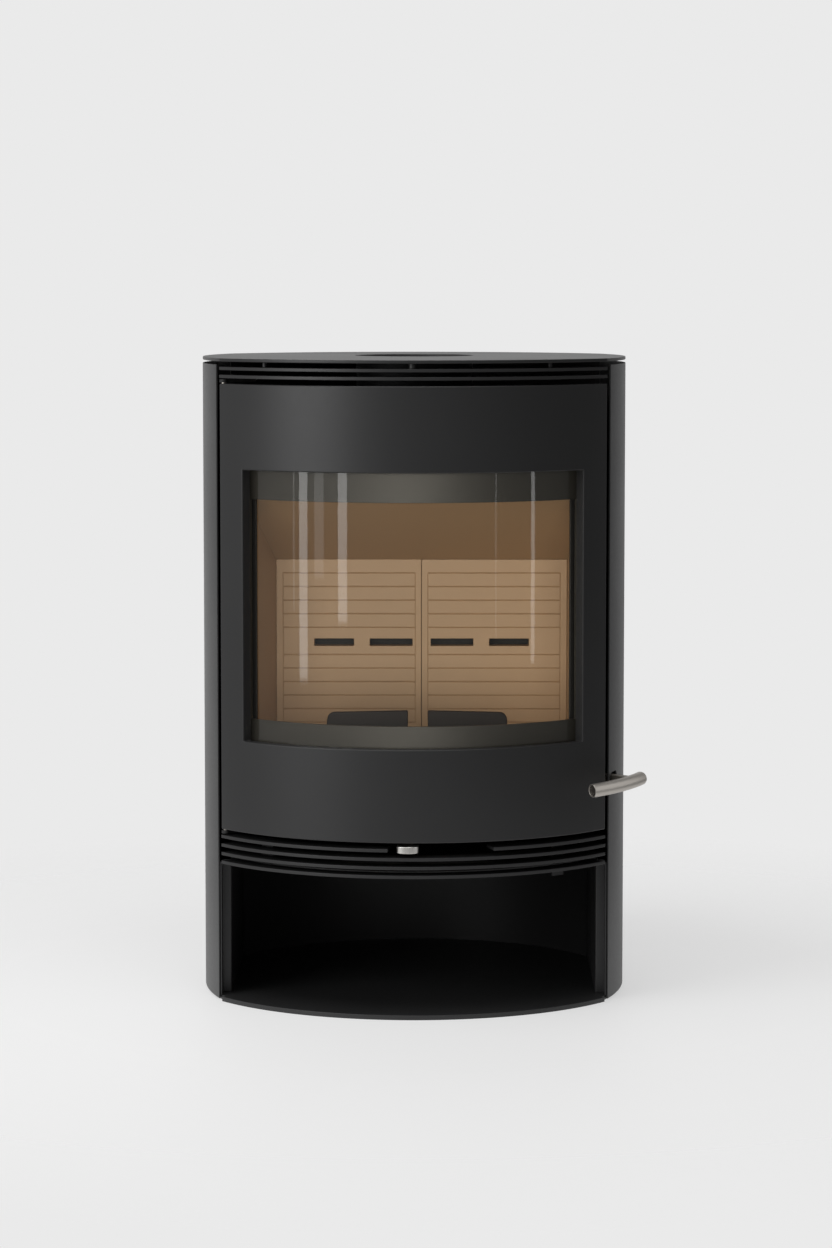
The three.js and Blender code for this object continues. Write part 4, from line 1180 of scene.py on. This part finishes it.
class STOVE_OT_handle(bpy.types.Operator):
    """Bends the handle's tube, closes its ends and forges the arm"""

    bl_idname = "stove.handle"
    bl_label = "Handle"

    def execute(self, context):
        half = TUBE_BEND_RADIUS * TUBE_SWEEP / 2
        tube = round_stock("handle_tube_bent", TUBE_RADIUS, -half, half, 40)
        combine(tube, round_stock("bore", TUBE_BORE, -half - 1 * MM, half + 1 * MM, 40))
        ease(tube, 0.5 * MM, 3)
        hand_over(bend_to_handle(tube), "brushed_steel", "handle_tube")
        # The plugs that close the tube's ends are dark: painted shade for the shadowed hollow of an open
        # tube end.
        starts = {"handle_plug_front": 2 * MM - half, "handle_plug_rear": half - 7 * MM}
        for name, start in starts.items():
            end = start + PLUG_LENGTH
            plug = round_stock(f"{name}_turned", PLUG_RADIUS, start, end, 2)
            edit(plug)
            choose(plug, "FACE", lambda p: min(abs(p.x - start), abs(p.x - end)) < FACE_SLACK)
            bpy.ops.mesh.inset(thickness=1.6 * MM, depth=-0.8 * MM)
            close_edit()
            ease(plug, 0.35 * MM, 2)
            hand_over(slide_to_handle(plug, (start + end) / 2), "plug_steel", name)
        shaft = eased_copy("lock_shaft", 0.5 * MM, 2)
        hand_over(shaft, "brushed_steel", "lock_shaft")
        hand_over(eased_copy("handle_arm", 0.6 * MM, 3), "arm_steel", "handle_arm")
        return {"FINISHED"}


# ---------- air control ----------

KNOB_HALF_WIDTH = 13.5 * MM
KNOB_BULGE = 7.5 * MM
KNOB_DEPTH = 16 * MM
KNOB_SET_BACK = 6.05 * MM
KNOB_TURN = math.asin(-6.2 * MM / FRONT_RADIUS)
KNOB_SLOT_HALF_WIDTH = 6.3 * MM
KNOB_SLOT_DEPTH = 4.5 * MM
KNOB_SLOT_PLAY = 0.3 * MM


class STOVE_OT_air_control(bpy.types.Operator):
    """Makes the air control's knob, lever and damper"""

    bl_idname = "stove.air_control"
    bl_label = "Air control"

    def execute(self, context):
        low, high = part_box("air_knob")
        deselect()
        bpy.ops.mesh.primitive_circle_add(vertices=96, radius=KNOB_HALF_WIDTH, fill_type="NGON")
        knob = added("air_knob_milled")
        knob.scale.y = KNOB_BULGE / KNOB_HALF_WIDTH
        settle(knob)
        edit(knob)
        bpy.ops.mesh.bisect(plane_co=(0, 0, 0), plane_no=(0, 1, 0), clear_outer=True)
        choose(knob, "EDGE", lambda p: p.y > -FACE_SLACK)
        bpy.ops.mesh.extrude_region_move(TRANSFORM_OT_translate={"value": (0, KNOB_DEPTH, 0)})
        bpy.ops.mesh.select_all(action="SELECT")
        bpy.ops.mesh.dissolve_limited(angle_limit=math.radians(0.5))
        bpy.ops.mesh.select_all(action="SELECT")
        bpy.ops.mesh.extrude_region_move(TRANSFORM_OT_translate={"value": (0, 0, high.z - low.z)})
        close_edit()
        bottom, top = [corner.z - low.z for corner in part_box("air_lever")]
        front_corner = (-KNOB_SLOT_HALF_WIDTH, KNOB_DEPTH - KNOB_SLOT_DEPTH, bottom - KNOB_SLOT_PLAY)
        back_corner = (KNOB_SLOT_HALF_WIDTH, KNOB_DEPTH + OVERRUN, top + KNOB_SLOT_PLAY)
        combine(knob, bar("slot", front_corner, back_corner))
        ease(knob, 1.1 * MM, 4)
        knob.location = (0, KNOB_SET_BACK - FRONT_RADIUS, low.z)
        settle(knob)
        knob.rotation_euler.z = KNOB_TURN
        knob.location.y = FRONT_CENTRE_Y
        settle(knob)
        hand_over(knob, "knob_steel", "air_knob")
        for name in ("air_lever", "air_damper", "lever_pivot"):
            hand_over(eased_copy(name, 0.4 * MM), "dark_steel", name)
        return {"FINISHED"}


# ---------- studio ----------

CAMERA_PLACE = (0.0361, -4.7493, 0.9039)
CAMERA_TILT = math.radians(5.3021)
CAMERA_TURN = math.radians(0.4073)
CAMERA_LENS = 106.77

GLOW_SPREAD = (0.62, 1.0)
STRIP_DISTANCE = 2.5
STRIP_TOP = 2.6
# azimuth in degrees, width, height of the lower edge, and gain
STRIPS = (
    (-61.0, 0.03, 0.3, 0.15),
    (-55.6, 0.20, 0.17, 2.6),
    (-47.0, 0.22, 0.36, 0.8),
    (-34.8, 0.20, 0.28, 2.4),
    (-3.0, 0.30, 0.9, 0.5),
    (14.0, 0.12, 0.8, 0.25),
    (40.6, 0.022, 0.25, 0.12),
    (60.7, 0.09, 0.2, 0.9),
)
BARE_STEEL = ("handle_", "air_knob")
LIT_THROUGH_WINDOW = (
    "back_board",
    "side_board",
    "floor_board",
    "lower_baffle",
    "log_guard",
    "grate",
    "door_inner_frame",
    "door_seal",
    "firebox_",
    "hearth_plate",
    "air_duct",
)


def lamp(name, azimuth, distance, heights, width, power, aim=None):
    """A softbox that stands round the stove at an azimuth from straight ahead, facing it."""
    angle = math.radians(azimuth)
    place = Vector((distance * math.sin(angle), -distance * math.cos(angle), sum(heights) / 2))
    bpy.ops.object.light_add(type="AREA", location=place)
    light = bpy.context.object
    light.name = name
    light.data.shape = "RECTANGLE"
    light.data.size = width
    light.data.size_y = heights[1] - heights[0]
    light.data.energy = power
    target = Vector((0, 0, place.z)) if aim is None else Vector(aim)
    light.rotation_euler = (target - place).to_track_quat("-Z", "Y").to_euler()
    return light


def shine(light, pieces, state):
    """Lets a light fall only on these pieces, or on all but them."""
    group = bpy.data.collections.new(f"{light.name}_{state.lower()}")
    for piece in pieces:
        group.objects.link(piece)
    for row in group.collection_objects:
        row.light_linking.link_state = state
    light.light_linking.receiver_collection = group


class STOVE_OT_studio(bpy.types.Operator):
    """Sets up the floor, the backdrop, the lights and the camera"""

    bl_idname = "stove.studio"
    bl_label = "Studio"

    def execute(self, context):
        scene = context.scene
        light = scene.studio_light
        deselect()
        bpy.ops.mesh.primitive_circle_add(vertices=128, radius=FLOOR_RADIUS, fill_type="NGON")
        floor = added("studio_floor")
        floor.data.materials.append(bpy.data.materials["studio_floor"])
        deselect()
        turned = (math.pi / 2 - CAMERA_TILT, 0, CAMERA_TURN)
        bpy.ops.object.camera_add(location=CAMERA_PLACE, rotation=turned)
        camera = bpy.context.object
        camera.name = "camera"
        camera.data.lens = CAMERA_LENS
        scene.camera = camera
        glass = [bpy.data.objects["glass_pane_bent"]]
        inside = [piece for piece in bpy.data.objects if piece.name.startswith(LIT_THROUGH_WINDOW)]
        key = lamp("key", -50, distance=2.6, heights=(0.35, 2.3), width=1.5, power=light.key)
        shine(key, glass, "EXCLUDE")
        overhead = lamp(
            "overhead",
            -20,
            distance=0.8,
            heights=(2.2, 3.6),
            width=2.0,
            power=light.overhead,
            aim=(0, 0, 0.4),
        )
        shine(overhead, glass, "EXCLUDE")
        fill = lamp("fire_fill", -4, distance=2.6, heights=(0.02, 1.3), width=1.6, power=light.fill)
        shine(fill, inside, "INCLUDE")
        steel = [piece for piece in bpy.data.objects if piece.name.startswith(BARE_STEEL)]
        beside = lamp("steel_fill", 78, distance=2.5, heights=(0.1, 3.4), width=3.6, power=light.steel)
        shine(beside, steel, "INCLUDE")
        for azimuth, width, bottom, gain in STRIPS:
            strip = lamp("strip", azimuth, STRIP_DISTANCE, (bottom, STRIP_TOP), width, light.strip * gain)
            shine(strip, glass, "INCLUDE")
        self.backdrop(scene, light)
        scene.view_settings.view_transform = "Standard"
        return {"FINISHED"}

    def backdrop(self, scene, light):
        """A plain pale backdrop, and the soft light that comes from round about."""
        world = bpy.data.worlds.new("backdrop")
        scene.world = world
        world.use_nodes = True
        tree = world.node_tree
        nodes = tree.nodes
        background = nodes["Background"]
        place = nodes.new("ShaderNodeTexCoord")
        split = nodes.new("ShaderNodeSeparateXYZ")
        tree.links.new(place.outputs["Generated"], split.inputs[0])
        along_y = nodes.new("ShaderNodeMapRange")
        along_y.interpolation_type = "SMOOTHSTEP"
        tree.links.new(split.outputs["Y"], along_y.inputs["Value"])
        low, high = GLOW_SPREAD
        ramp = {"From Min": low, "From Max": high, "To Min": light.ahead, "To Max": light.behind}
        for socket, value in ramp.items():
            along_y.inputs[socket].default_value = value
        lean = nodes.new("ShaderNodeMath")
        lean.operation = "MULTIPLY_ADD"
        tree.links.new(split.outputs["X"], lean.inputs[0])
        lean.inputs[1].default_value = -light.lean
        lean.inputs[2].default_value = 1.0
        leaning = nodes.new("ShaderNodeMath")
        leaning.operation = "MULTIPLY"
        tree.links.new(along_y.outputs["Result"], leaning.inputs[0])
        tree.links.new(lean.outputs[0], leaning.inputs[1])
        path = nodes.new("ShaderNodeLightPath")
        mix = nodes.new("ShaderNodeMix")
        tree.links.new(path.outputs["Is Camera Ray"], mix.inputs[0])
        tree.links.new(leaning.outputs[0], mix.inputs[2])
        mix.inputs[3].default_value = light.backdrop
        tree.links.new(mix.outputs[0], background.inputs["Strength"])
        background.inputs["Color"].default_value = WHITE


# ---------- panel and main ----------

STEPS = (
    STOVE_OT_finishes,
    STOVE_OT_base_plate,
    STOVE_OT_side_panels,
    STOVE_OT_rear_panel,
    STOVE_OT_log_store,
    STOVE_OT_fins,
    STOVE_OT_top_plate,
    STOVE_OT_flue_collar,
    STOVE_OT_firebox,
    STOVE_OT_back_boards,
    STOVE_OT_lining,
    STOVE_OT_castings,
    STOVE_OT_door_panel,
    STOVE_OT_window,
    STOVE_OT_door_seal,
    STOVE_OT_hinges,
    STOVE_OT_handle,
    STOVE_OT_air_control,
    STOVE_OT_studio,
)


class STOVE_PT_panel(bpy.types.Panel):
    """Lists the stove's sizes, colours and making steps"""

    bl_idname = "STOVE_PT_panel"
    bl_label = "Wood Burning Stove"
    bl_space_type = "VIEW_3D"
    bl_region_type = "UI"
    bl_category = "Stove"

    def draw(self, context):
        for group in (context.scene.stove_sizes, context.scene.stove_colours, context.scene.studio_light):
            box = self.layout.box()
            for name in group.__annotations__:
                box.prop(group, name)
        for step in STEPS:
            self.layout.operator(step.bl_idname)


CLASSES = (StoveSizes, StoveColours, StudioLight, *STEPS, STOVE_PT_panel)


def register():
    for each in CLASSES:
        bpy.utils.register_class(each)
    bpy.types.Scene.stove_sizes = PointerProperty(type=StoveSizes)
    bpy.types.Scene.stove_colours = PointerProperty(type=StoveColours)
    bpy.types.Scene.studio_light = PointerProperty(type=StudioLight)


def unregister():
    del bpy.types.Scene.studio_light
    del bpy.types.Scene.stove_colours
    del bpy.types.Scene.stove_sizes
    for each in reversed(CLASSES):
        bpy.utils.unregister_class(each)


def main():
    register()
    for step in STEPS:
        group, name = step.bl_idname.split(".")
        getattr(getattr(bpy.ops, group), name)()
    deselect()


if __name__ == "__main__":
    main()
